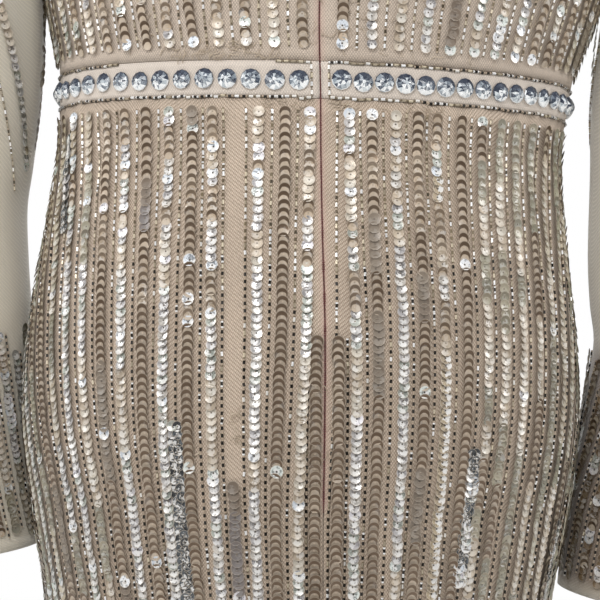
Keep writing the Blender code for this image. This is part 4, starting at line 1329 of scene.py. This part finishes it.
def bodice_line(cloth, half, turn):
    """Line up the bodice that follows its shape to the underarm and then runs straight up to an edge."""
    across = turn / 90
    rows = np.linspace(BODICE_ROWS_BOTTOM, UNDERARM_ROW, BODICE_LOW_STEPS)
    u, v = [np.full(len(rows), half * across)], [rows]
    goal = cloth.plain(half * across, UNDERARM_ROW)[0]
    spread = np.linspace(0.015, 0.985, BODICE_CROSS_STEPS) * half
    for row in np.linspace(UNDERARM_ROW + 0.02, TOP_ROW - 0.04, BODICE_HIGH_STEPS):
        x = cloth.plain(spread, row)[:, 0] * half
        if not x[0] <= goal * half <= x[-1]:
            if row > UNDERARM_ROW + 1:
                break
            continue
        u.append([half * np.interp(goal * half, x, np.abs(spread))])
        v.append([row])
    return np.concatenate(u), np.concatenate(v)


def bodice_plan(cloth, half, first):
    """Rows of half the front or back of the bodice. first is the first row's degrees from the middle."""
    plan = RowPlan(cloth)
    count = int((LAST_TURN - first) / BODICE_ROW_TURN) + 1
    for number in range(count):
        turn = first + number * BODICE_ROW_TURN
        plan.sequins.append((*bodice_line(cloth, half, turn), "bodice" if number % 4 else "smoke"))
        if number + 1 < count:
            plan.beads.append(bodice_line(cloth, half, turn + BODICE_ROW_TURN / 2))
    return plan


# Rows of the sleeves, in shares of the way round and in places down the arm, where 1 is the underarm and 2
# the cuff's end.
# How brown the net behind each cuff's rows is; the right cuff's much larger value is painted shade.
CUFF_BROWN_AND_SHADE = {1: 0.14, -1: 0.95}
CUFF_PLACE = 1.665
CUFF_END_PLACE = 1.984
CUFF_EDGE_PLACE = 1.992
CUFF_ROWS = 25
CUFF_STAGGER = 0.013
CUFF_END_STAGGER = 0.005
ARM_ROWS = 7
ARM_ROW_PITCH = 0.125
ARM_FIRST_ROW = 0.93
ARM_TOP_PLACE = 0.55
ARM_END_PLACE = 1.46
ARM_STAGGER = 0.02
ARM_BEADS_ASIDE = 0.035
ARM_BEADS_BELOW = 0.03
INNER_ROW = 0.985
INNER_ROW_PLACES = (1.0, 1.42)
# How far round the rows wander in one step of place.
ARM_DRIFT = 0.5
ARM_DRIFT_PLACE = 1.4
ROW_DRIFT = 0.26
LINE_STEPS = 90
DOUBLED_NET = 0.13


def ramp(low, high, values):
    """0 below low and 1 above high, smooth between."""
    share = np.clip((values - low) / (high - low), 0.0, 1.0)
    return share * share * (3 - 2 * share)


def cuff_mark(half, around, place):
    """How dark the sleeve's net is: brown behind the cuff's rows, far deeper on the right cuff as painted
    shade, and doubled along its inner line.
    """
    edge = ramp(CUFF_END_PLACE, CUFF_EDGE_PLACE, place)
    cuff = ramp(CUFF_PLACE - 0.02, CUFF_PLACE + 0.015, place) * (1 - 0.7 * edge)
    inner = 1 - ramp(0.02, 0.05, np.minimum(around, 1 - around))
    doubled = DOUBLED_NET * inner * (1 - ramp(1.40, ARM_END_PLACE, place))
    return np.maximum(cuff * CUFF_BROWN_AND_SHADE[half], doubled)


def sleeve_plan(half):
    """Sparse rows that stop half way down the arm, and close ones round the cuff above a plain edge."""
    plan = RowPlan(SLEEVES[half])
    for k in range(CUFF_ROWS):
        around = (k + 0.3) / CUFF_ROWS
        down = np.linspace(CUFF_PLACE + CUFF_STAGGER * (k * 2 % 5),
                           CUFF_END_PLACE - CUFF_END_STAGGER * (k % 3), LINE_STEPS)
        drift = ROW_DRIFT * (down - CUFF_PLACE)
        # The right cuff's rows take the dark blend, as painted shade.
        blend = ("bright_cuff", "pearl", "side")[k % 3] if half > 0 else "cuff"
        plan.sequins.append((around + drift, down, blend))
        plan.beads.append((around + drift + 0.5 / CUFF_ROWS, down))
    for k in range(ARM_ROWS):
        around = ARM_FIRST_ROW - (k + 0.5 * (half < 0)) * ARM_ROW_PITCH
        down = np.linspace(ARM_TOP_PLACE, ARM_END_PLACE - ARM_STAGGER * (k % 3), LINE_STEPS)
        drift = ARM_DRIFT * (down - ARM_DRIFT_PLACE)
        plan.sequins.append((around + drift, down, "bright_cuff" if k % 2 == 0 else "brown"))
        plan.beads.append((around + drift - ARM_BEADS_ASIDE, down + ARM_BEADS_BELOW))
    if half > 0:
        plan.sequins.append((np.full(LINE_STEPS, INNER_ROW), np.linspace(*INNER_ROW_PLACES, LINE_STEPS),
                             "brown"))
    return plan


PANEL_PLANS = {
    "skirt_back_left": lambda: [skirt_plan(1, QUARTER)],
    "skirt_back_right": lambda: [skirt_plan(-1, QUARTER)],
    "skirt_front": lambda: [skirt_plan(half, -QUARTER) for half in (1, -1)],
    "bodice_back_left": lambda: [bodice_plan(BACK, 1, BODICE_FIRST_TURN[1])],
    "bodice_back_right": lambda: [bodice_plan(BACK, -1, BODICE_FIRST_TURN[-1])],
    "bodice_front": lambda: [bodice_plan(FRONT, half, BODICE_ROW_TURN / 2) for half in (1, -1)],
    "sleeve_left": lambda: [sleeve_plan(1)],
    "sleeve_right": lambda: [sleeve_plan(-1)],
}


def rows_of(panel, make):
    """Trims of every row of a panel. make takes a plan and a random generator, and yields rows."""
    rng = np.random.default_rng(sum(map(ord, panel)))
    rows = [row for plan in PANEL_PLANS[panel]() for row in make(plan, rng) if row is not None]
    return joined(rows)


# ---------------------------------------------------------------- the waistband


BAND_MIDDLE_Z = (WAIST_TOP_Z + WAIST_BOTTOM_Z) / 2
BAND_RADIUS = 0.148
CRYSTAL_DROP = 0.0002
CRYSTAL_STRAY = 0.0003
CRYSTAL_ROLL = 0.024
CRYSTAL_LIFT = 0.0006
# The border's two lines of beads, how far from the seam they start, the degrees between which the upper one
# is left out on the wearer's left, and the upright beads that close it.
BORDER_LINES_Z = (WAIST_TOP_Z - 0.0006, WAIST_BOTTOM_Z + 0.0004)
BORDER_FIRST = 0.0062
BORDER_GAP = (9.5, 47)
BORDER_STRAY = 0.00025
BORDER_DARK_TURN = 20
BORDER_END = 0.0046
BORDER_END_INSET = 0.003
BORDER_END_SHADES = (0, 2, 1, 0)


def band_walk(half, first, pitch, z):
    """Angles of even steps along the waistband from the back seam towards the front."""
    turns = np.linspace(0.0, math.pi, 900)
    angles = QUARTER - half * turns
    points = body(angles, z)
    lengths = np.concatenate(((0.0,), np.cumsum(np.linalg.norm(np.diff(points, axis=0), axis=-1))))
    at = np.arange(first, lengths[-1] - pitch * 0.4, pitch)
    return np.interp(at, lengths, angles)


def crystal_row(half, pitch, first, rng):
    """Crystals along one half of the waistband."""
    angle = band_walk(half, first, pitch, BAND_MIDDLE_Z)
    count = len(angle)
    height = BAND_MIDDLE_Z - CRYSTAL_DROP + rng.normal(0, CRYSTAL_STRAY, count)
    roll = rng.normal(0, CRYSTAL_ROLL, count)
    place, aim, side = laid(SKIRT, angle, height, CRYSTAL_LIFT, np.zeros(count), roll)
    glint, size = rng.random(count), rng.uniform(0.97, 1.03, count)
    return plain_trims(place, aim, side, size, 0.8)._replace(glint=glint)


def border_line(half, line_z, settings, rng):
    """Beads along one edge of one half of the waistband."""
    angle = band_walk(half, BORDER_FIRST, settings.pitch, line_z)
    turn = np.degrees(np.abs(QUARTER - angle))
    if half > 0 and line_z > BAND_MIDDLE_Z:
        kept = (turn < BORDER_GAP[0]) | (turn > BORDER_GAP[1])
        angle, turn = angle[kept], turn[kept]
    count = len(angle)
    height = line_z + rng.normal(0, BORDER_STRAY, count)
    side, out = SKIRT.slopes(angle, height)
    place = SKIRT.points(angle, height) + out * settings.width / 2
    # Beads farther round the band are more often painted dark, as painted reflection.
    dark = rng.random(count) < np.where(turn > BORDER_DARK_TURN, 0.62, 0.2)
    shade = np.where(dark[:, None], picked(rng, DARK_REFLECTION_BEADS, count), picked(rng, BRIGHT_REFLECTION_BEADS, count))
    return Trims(place, side, out, shade, dark * 1.0, rng.uniform(0.4, 1.0, count), np.zeros(count),
                 np.full(count, 0.98))


def border_end(half, settings):
    """Upright beads that close the border beside the back seam."""
    count = len(BORDER_END_SHADES)
    angle = np.full(count, QUARTER - half * BORDER_END / BAND_RADIUS)
    height = np.linspace(WAIST_BOTTOM_Z + BORDER_END_INSET, WAIST_TOP_Z - BORDER_END_INSET, count)
    side, out = SKIRT.slopes(angle, height)
    place = SKIRT.points(angle, height) + out * settings.width / 2
    return Trims(place, np.cross(side, out), out, BRIGHT_REFLECTION_BEADS[list(BORDER_END_SHADES)], np.zeros(count),
                 np.full(count, 0.9), np.zeros(count), np.full(count, 0.95))


# ---------------------------------------------------------------- settings


class GOWN_PG_cloth(bpy.types.PropertyGroup):
    net_pitch: FloatProperty(name="Net pitch", description="Width of a diamond of the net", default=0.0015,
                             unit="LENGTH")
    thickness: FloatProperty(name="Thickness", description="Net and lining together", default=0.0010,
                             unit="LENGTH")
    sleeve_thickness: FloatProperty(name="Sleeve net", description="Thickness of the sleeve's net",
                                    default=0.0005, unit="LENGTH")
    net_colour: FloatVectorProperty(name="Net", description="Colour of the net's threads", subtype="COLOR",
                                    default=(0.32, 0.242, 0.178))
    lining_colour: FloatVectorProperty(name="Lining", description="Colour of the lining", subtype="COLOR",
                                       default=(0.585, 0.475, 0.372))
    seam_colour: FloatVectorProperty(name="Seam", description="Colour of the tape that shows at the zip",
                                     subtype="COLOR", default=(0.52, 0.34, 0.28))
    sheer_colour: FloatVectorProperty(name="Sleeve", description="Colour of the sleeve's net",
                                      subtype="COLOR", default=(0.90, 0.82, 0.665))
    cuff_colour: FloatVectorProperty(name="Cuff", description="Colour of the net behind the cuff's rows",
                                     subtype="COLOR", default=(0.21, 0.135, 0.080))
    sheer_cover: FloatProperty(name="Cover", description="How much the holes of the sleeve's net still hide",
                               default=0.74, min=0.0, max=1.0, subtype="FACTOR")


class GOWN_PG_sequins(bpy.types.PropertyGroup):
    diameter: FloatProperty(name="Diameter", description="Across a sequin", default=0.0068, unit="LENGTH")
    pitch: FloatProperty(name="Pitch", description="From one sequin to the next", default=0.0048,
                         unit="LENGTH")
    tighten: FloatProperty(name="Tighten", description="How much closer the sequins are from the hips down",
                           default=0.19, min=0.0, max=0.5, subtype="FACTOR")
    cup_depth: FloatProperty(name="Cup depth", description="Depth of the cup as a share of the diameter",
                             default=0.11)
    lift: FloatProperty(name="Lift", description="How far the eye stands off the net", default=0.0011,
                        unit="LENGTH")
    tilt: FloatProperty(name="Tilt", description="Random lean of each sequin", default=0.06, subtype="ANGLE")
    seed: IntProperty(name="Seed", description="Seed of the random lean", default=11)


class GOWN_PG_beads(bpy.types.PropertyGroup):
    length: FloatProperty(name="Length", description="Length of a bugle bead", default=0.0036, unit="LENGTH")
    width: FloatProperty(name="Width", description="Width of a bugle bead", default=0.0013, unit="LENGTH")
    pitch: FloatProperty(name="Pitch", description="From one bead to the next", default=0.0038,
                         unit="LENGTH")
    tilt: FloatProperty(name="Tilt", description="Random lean of each bead", default=0.03,
                        subtype="ANGLE")
    border_tilt: FloatProperty(name="Border tilt", description="Random lean of the waistband's beads",
                               default=0.05, subtype="ANGLE")
    seed: IntProperty(name="Seed", description="Seed of the random lean", default=23)
    thread_length: FloatProperty(name="Thread end", description="Length of a loose end of thread",
                                 default=0.0055, unit="LENGTH")
    tooth_pitch: FloatProperty(name="Zip tooth pitch", description="From one zip tooth to the next",
                               default=0.0012, unit="LENGTH")


class GOWN_PG_crystals(bpy.types.PropertyGroup):
    diameter: FloatProperty(name="Diameter", description="Across a crystal", default=0.0104, unit="LENGTH")
    rise: FloatProperty(name="Rise", description="Height of a crystal as a share of its diameter",
                        default=0.34)
    left_pitch: FloatProperty(name="Left pitch", description="Spacing on the wearer's left",
                              default=0.0127, unit="LENGTH")
    right_pitch: FloatProperty(name="Right pitch", description="Spacing on the wearer's right",
                               default=0.0113, unit="LENGTH")
    first: FloatProperty(name="From the seam", description="First crystal's distance from the back seam",
                         default=0.0112, unit="LENGTH")
    tilt: FloatProperty(name="Tilt", description="Random lean of each crystal", default=0.03,
                        subtype="ANGLE")
    seed: IntProperty(name="Seed", description="Seed of the waistband's places and shades", default=5)


class GOWN_PG_stage(bpy.types.PropertyGroup):
    distance: FloatProperty(name="Distance", description="Camera's distance behind the middle of the gown",
                            default=0.900, unit="LENGTH")
    height: FloatProperty(name="Height", description="Camera's height against the shoulders",
                          default=-0.521, unit="LENGTH")
    roll: FloatProperty(name="Roll", description="Camera's roll", default=math.radians(1.6),
                        subtype="ANGLE")
    lens: FloatProperty(name="Lens", description="Focal length in millimetres on a 36 mm sensor",
                        default=91.8)
    fill: FloatProperty(name="Fill", description="Strength of the dome's light", default=0.57)
    key_power: FloatProperty(name="Key light", description="Power of the light behind the camera",
                             default=10.2, unit="POWER")
    side_power: FloatProperty(name="Side lights", description="Power of each light that rakes a side",
                              default=11.0, unit="POWER")


# ---------------------------------------------------------------- operators


# Rows and columns of the grids that the cloth is made of.
SKIRT_ROWS = 124
SKIRT_BACK_COLUMNS = 50
SKIRT_FRONT_COLUMNS = 96
BODICE_ROWS = (31, 45)
BODICE_BACK_COLUMNS = 38
BODICE_FRONT_COLUMNS = 36
SLEEVE_ROWS = (22, 84)
SLEEVE_COLUMNS = 56


class GOWN_OT_cloth(bpy.types.Operator):
    """Lays net over lining on every panel of the bodice and the skirt"""

    bl_idname = "gown.cloth"
    bl_label = "Net and lining"

    def execute(self, context):
        settings = context.scene.gown_cloth
        materials = (net_over_lining(settings), lining(settings))
        z = np.linspace(HEM_Z, WAIST_BOTTOM_Z - SEAM_GAP, SKIRT_ROWS)[:, None]
        zip_gap = np.where(z > ZIP_END_Z, ZIP_GAP_TURN, SIDE_GAP_TURN)
        for name, first, last, seam in (
            ("skirt_back_left", 0.0, QUARTER, -1), ("skirt_back_right", QUARTER, 2 * QUARTER, 0),
            ("skirt_front", 2 * QUARTER, 4 * QUARTER, None),
        ):
            start, end = first + SIDE_GAP_TURN, last - SIDE_GAP_TURN
            share = np.linspace(0.0, 1.0, SKIRT_FRONT_COLUMNS + 1)
            if seam == 0:
                share, start = toward_seam(SKIRT_BACK_COLUMNS), first + zip_gap
            elif seam == -1:
                share, end = 1 - toward_seam(SKIRT_BACK_COLUMNS)[::-1], last - zip_gap
            points = SKIRT.points(start + (end - start) * share, z)
            add_cloth(name, (points,), SKIRT.facing, materials, settings.thickness,
                      mark=None if seam is None else zip_mark(points, seam), first=seam)
        materials = (net_over_lining(settings, BODICE_PAINTED_LIGHT), materials[1])
        rows = two_stretches(0, UNDERARM_ROW, TOP_ROW, *BODICE_ROWS)
        across = BODICE_ZIP_INSET + (1 - BODICE_ZIP_INSET) * toward_seam(BODICE_BACK_COLUMNS)
        for name, half, seam in (("bodice_back_left", 1, 0), ("bodice_back_right", -1, -1)):
            points = BACK.points((half * across)[::half], rows)
            add_cloth(name, (points,), BACK.facing, materials, settings.thickness,
                      mark=zip_mark(points, seam), first=seam)
        across = np.linspace(0.0, 1.0, BODICE_FRONT_COLUMNS + 1)
        halves = [FRONT.points(half * across[::half], rows) for half in (-1, 1)]
        add_cloth("bodice_front", halves, FRONT.facing, materials, settings.thickness,
                  weld=True)
        return {"FINISHED"}


class GOWN_OT_sleeves(bpy.types.Operator):
    """Hangs the two sheer net sleeves"""

    bl_idname = "gown.sleeves"
    bl_label = "Sleeves"

    def execute(self, context):
        settings = context.scene.gown_cloth
        materials = (sheer_net(settings),)
        around = np.linspace(0.0, 1.0, SLEEVE_COLUMNS + 1)
        place = two_stretches(0.0, 1.0, 2.0, *SLEEVE_ROWS)
        for name, half in (("sleeve_left", 1), ("sleeve_right", -1)):
            cloth = SLEEVES[half]
            add_cloth(name, (cloth.points(around, place),), cloth.facing, materials,
                      settings.sleeve_thickness, weld=True, mark=cuff_mark(half, around, place))
        return {"FINISHED"}


class GOWN_OT_waistband(bpy.types.Operator):
    """Makes the net band and sets its row of crystals between two lines of beads"""

    bl_idname = "gown.waistband"
    bl_label = "Crystal waistband"

    def execute(self, context):
        scene = context.scene
        crystals, beads = scene.gown_crystals, scene.gown_beads
        materials = (net_over_lining(scene.gown_cloth, BAND_PAINTED_LIGHT), lining(scene.gown_cloth))
        z = np.linspace(WAIST_BOTTOM_Z, WAIST_TOP_Z, 7)[:, None]
        angles = np.linspace(QUARTER + ZIP_GAP_TURN, 5 * QUARTER - ZIP_GAP_TURN, 300)
        add_cloth("waistband", (SKIRT.points(angles, z),), SKIRT.facing, materials,
                  scene.gown_cloth.thickness)
        rng = np.random.default_rng(crystals.seed)
        stones = [crystal_row(half, pitch, crystals.first, rng)
                  for half, pitch in ((1, crystals.left_pitch), (-1, crystals.right_pitch))]
        sew_on("waistband_crystals", joined(stones), crystal_shape(crystals.rise), crystals.diameter,
               crystals.tilt, beads.seed, crystal_finish())
        lines = []
        for half in (1, -1):
            lines += [border_line(half, line_z, beads, rng) for line_z in BORDER_LINES_Z]
            lines.append(border_end(half, beads))
        sew_on("waistband_beads", joined(lines), bead_shape(beads.width / beads.length), beads.length,
               beads.border_tilt, beads.seed, bead_finish())
        return {"FINISHED"}


class GOWN_OT_sequins(bpy.types.Operator):
    """Sews the rows of sequins on every panel and both sleeves"""

    bl_idname = "gown.sequins"
    bl_label = "Sequins"

    def execute(self, context):
        settings = context.scene.gown_sequins
        trim = sequin_shape(settings.cup_depth)
        material = sequin_finish()
        for panel in PANEL_PLANS:
            # The right sleeve's sequins are darkened as painted shade.
            painted_darkness = RIGHT_SLEEVE_PAINTED_SHADE if panel == "sleeve_right" else 0.0
            trims = rows_of(panel, lambda plan, rng: (
                sequin_row(plan.cloth, u, v, blend, settings, rng, painted_darkness)
                for u, v, blend in plan.sequins))
            sew_on(panel + "_sequins", trims, trim, settings.diameter, settings.tilt, settings.seed,
                   material)
        return {"FINISHED"}


class GOWN_OT_beads(bpy.types.Operator):
    """Sews the rows of bugle beads between the sequins"""

    bl_idname = "gown.beads"
    bl_label = "Beads"

    def execute(self, context):
        settings = context.scene.gown_beads
        trim = bead_shape(settings.width / settings.length)
        material = bpy.data.materials.get("bugle_bead") or bead_finish()
        for panel in PANEL_PLANS:
            trims = rows_of(panel, lambda plan, rng: (
                bead_row(plan.cloth, u, v, settings, rng) for u, v in plan.beads))
            sew_on(panel + "_beads", trims, trim, settings.length, settings.tilt, settings.seed, material)
        return {"FINISHED"}


# Patches of loose thread ends on the back: degrees from the seam, heights, and how many.
THREAD_PATCHES = (
    (-34.0, -8.0, -0.3945, -0.3865, 60),
    (-50.0, 50.0, -0.392, -0.345, 150),
    (2.0, 30.0, -0.4215, -0.4165, 26),
    (-12.0, -2.0, -0.4215, -0.4165, 14),
    (-17.5, -15.0, -0.596, -0.580, 14),
    (-70.0, 70.0, -0.700, -0.422, 90),
)
THREAD_LIFT = 0.0003
THREAD_WIDTH = 0.036
THREAD_TILT = 0.12
TOOTH_WIDTH = 0.55
TOOTH_TILT = 0.05


class GOWN_OT_threads(bpy.types.Operator):
    """Leaves the loose ends of thread that show on the back"""

    bl_idname = "gown.threads"
    bl_label = "Loose threads"

    def execute(self, context):
        settings = context.scene.gown_beads
        rng = np.random.default_rng(settings.seed)
        ends = []
        for first, last, low, high, count in THREAD_PATCHES:
            angle = QUARTER + np.radians(rng.uniform(first, last, count))
            z = rng.uniform(low, high, count)
            side, out = SKIRT.slopes(angle, z)
            spin = rng.uniform(0, 2 * math.pi, count)[:, None]
            lie = side * np.cos(spin) + np.cross(out, side) * np.sin(spin)
            place = SKIRT.points(angle, z) + out * THREAD_LIFT
            ends.append(plain_trims(place, out, lie, rng.uniform(0.5, 1.4, count), 0.5))
        sew_on("loose_threads", joined(ends), thread_shape(THREAD_WIDTH), settings.thread_length,
               THREAD_TILT, settings.seed, thread_finish())
        return {"FINISHED"}


class GOWN_OT_zip(bpy.types.Operator):
    """Finishes the zip's tape, slider and pull"""

    bl_idname = "gown.zip"
    bl_label = "Zip"

    def execute(self, context):
        metal = metal_finish()
        for node, material in (("zip_tape", tape_finish()), ("zip_slider", metal), ("zip_pull", metal)):
            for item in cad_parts[node].material_slots:
                item.material = material
        pitch = context.scene.gown_beads.tooth_pitch
        lines = []
        for cloth, u, v in ((SKIRT, QUARTER, np.linspace(ZIP_END_Z, WAIST_TOP_Z, 200)),
                            (BACK, 0.0, np.linspace(0.0, BACK_NECK_ROW - 0.25, 200))):
            u, v = walk(cloth, u, v, pitch)
            side, out = cloth.slopes(u, v)
            place = cloth.points(u, v) - out * COIL_DEPTH
            lines.append(plain_trims(place, side, out, np.ones(len(u)), 0.1))
        sew_on("zip_teeth", joined(lines), bead_shape(TOOTH_WIDTH), COIL_WIDTH, TOOTH_TILT, 3,
               coil_finish())
        return {"FINISHED"}


# Strength of the dome straight below and straight above, as shares of the fill.
DOME_BELOW = 0.12
DOME_ABOVE = 1.72
FLOOR_RADIUS = 2.4
FLOOR_DROP = 0.004
FLOOR_TONES = ((0.90, 0.90, 0.89), (0.86, 0.86, 0.85))
# Lamps: name, place, size and the setting that holds the power.
LAMPS = (
    ("key", (0.30, 1.20, 0.35), 0.6, "key_power"),
    ("front", (-0.30, -1.20, 0.35), 0.6, "key_power"),
    ("left", (2.0, 0.4, 0.3), 0.7, "side_power"),
    ("right", (-2.0, 0.4, 0.3), 0.7, "side_power"),
)
SENSOR_WIDTH = 36.0  # millimetres


def studio_world(fill):
    """White backdrop that lights the gown as a soft dome, bright overhead and dim below."""
    world = bpy.data.worlds.new("studio")
    world.use_nodes = True
    tree = world.node_tree
    place = tree.nodes.new("ShaderNodeTexCoord")
    split = tree.nodes.new("ShaderNodeSeparateXYZ")
    dome = tree.nodes.new("ShaderNodeMapRange")
    dome.inputs["From Min"].default_value = -1.0
    dome.inputs["To Min"].default_value = fill * DOME_BELOW
    dome.inputs["To Max"].default_value = fill * DOME_ABOVE
    seen = tree.nodes.new("ShaderNodeLightPath")
    choice = tree.nodes.new("ShaderNodeMix")
    choice.inputs["B"].default_value = 1.0
    links = tree.links
    links.new(place.outputs["Generated"], split.inputs[0])
    links.new(split.outputs["Z"], dome.inputs["Value"])
    links.new(dome.outputs[0], choice.inputs["A"])
    links.new(seen.outputs["Is Camera Ray"], choice.inputs["Factor"])
    links.new(choice.outputs[0], tree.nodes["Background"].inputs["Strength"])
    tree.nodes["Background"].inputs["Color"].default_value = (1.0, 1.0, 1.0, 1.0)
    return world


class GOWN_OT_stage(bpy.types.Operator):
    """Sets the pale floor, the studio light and the camera"""

    bl_idname = "gown.stage"
    bl_label = "Stage"

    def execute(self, context):
        settings = context.scene.gown_stage
        scene = context.scene
        shape = bmesh.new()
        bmesh.ops.create_circle(shape, cap_ends=True, segments=64, radius=FLOOR_RADIUS)
        bmesh.ops.translate(shape, vec=(0.0, 0.0, HEM_Z - FLOOR_DROP), verts=shape.verts)
        mesh = bpy.data.meshes.new("floor")
        shape.to_mesh(mesh)
        shape.free()
        floor = bpy.data.objects.new("floor", mesh)
        scene.collection.objects.link(floor)
        paint = Finish("floor", roughness=0.9)
        paint.feed("Base Color", paint.mix(paint.noise(3.0), *FLOOR_TONES))
        mesh.materials.append(paint.material)
        scene.world = studio_world(settings.fill)
        scene.view_settings.view_transform = "Standard"
        target = Vector((0.0, 0.0, settings.height))
        for name, place, size, power in LAMPS:
            lamp = bpy.data.lights.new(name, "AREA")
            lamp.size = size
            lamp.energy = getattr(settings, power)
            light = bpy.data.objects.new(name, lamp)
            scene.collection.objects.link(light)
            aim = (target - Vector(place)).to_track_quat("-Z", "Y").to_matrix().to_4x4()
            light.matrix_world = Matrix.Translation(place) @ aim
        lens = bpy.data.cameras.new("camera")
        lens.lens = settings.lens
        lens.sensor_width = SENSOR_WIDTH
        camera = bpy.data.objects.new("camera", lens)
        scene.collection.objects.link(camera)
        cos, sin = math.cos(settings.roll), math.sin(settings.roll)
        camera.matrix_world = Matrix((
            (-cos, sin, 0.0, 0.0), (0.0, 0.0, 1.0, settings.distance), (sin, cos, 0.0, settings.height),
            (0.0, 0.0, 0.0, 1.0),
        ))
        scene.camera = camera
        return {"FINISHED"}


class GOWN_PT_panel(bpy.types.Panel):
    bl_label = "Trumpet gown"
    bl_idname = "GOWN_PT_panel"
    bl_space_type = "VIEW_3D"
    bl_region_type = "UI"
    bl_category = "Gown"

    def draw(self, context):
        for operator in OPERATORS:
            self.layout.operator(operator.bl_idname)
        for name in SETTINGS:
            group = getattr(context.scene, name)
            box = self.layout.box()
            for key in type(group).__annotations__:
                box.prop(group, key)


SETTINGS = {
    "gown_cloth": GOWN_PG_cloth,
    "gown_sequins": GOWN_PG_sequins,
    "gown_beads": GOWN_PG_beads,
    "gown_crystals": GOWN_PG_crystals,
    "gown_stage": GOWN_PG_stage,
}
OPERATORS = (GOWN_OT_cloth, GOWN_OT_sleeves, GOWN_OT_waistband, GOWN_OT_sequins, GOWN_OT_beads,
             GOWN_OT_threads, GOWN_OT_zip, GOWN_OT_stage)


def register():
    for item in (*SETTINGS.values(), *OPERATORS, GOWN_PT_panel):
        bpy.utils.register_class(item)
    for name, group in SETTINGS.items():
        setattr(bpy.types.Scene, name, PointerProperty(type=group))


def unregister():
    for name in SETTINGS:
        delattr(bpy.types.Scene, name)
    for item in reversed((*SETTINGS.values(), *OPERATORS, GOWN_PT_panel)):
        bpy.utils.unregister_class(item)


def main():
    register()
    bpy.ops.gown.cloth()
    bpy.ops.gown.sleeves()
    bpy.ops.gown.waistband()
    bpy.ops.gown.sequins()
    bpy.ops.gown.beads()
    bpy.ops.gown.threads()
    bpy.ops.gown.zip()
    bpy.ops.gown.stage()


if __name__ == "__main__":
    main()
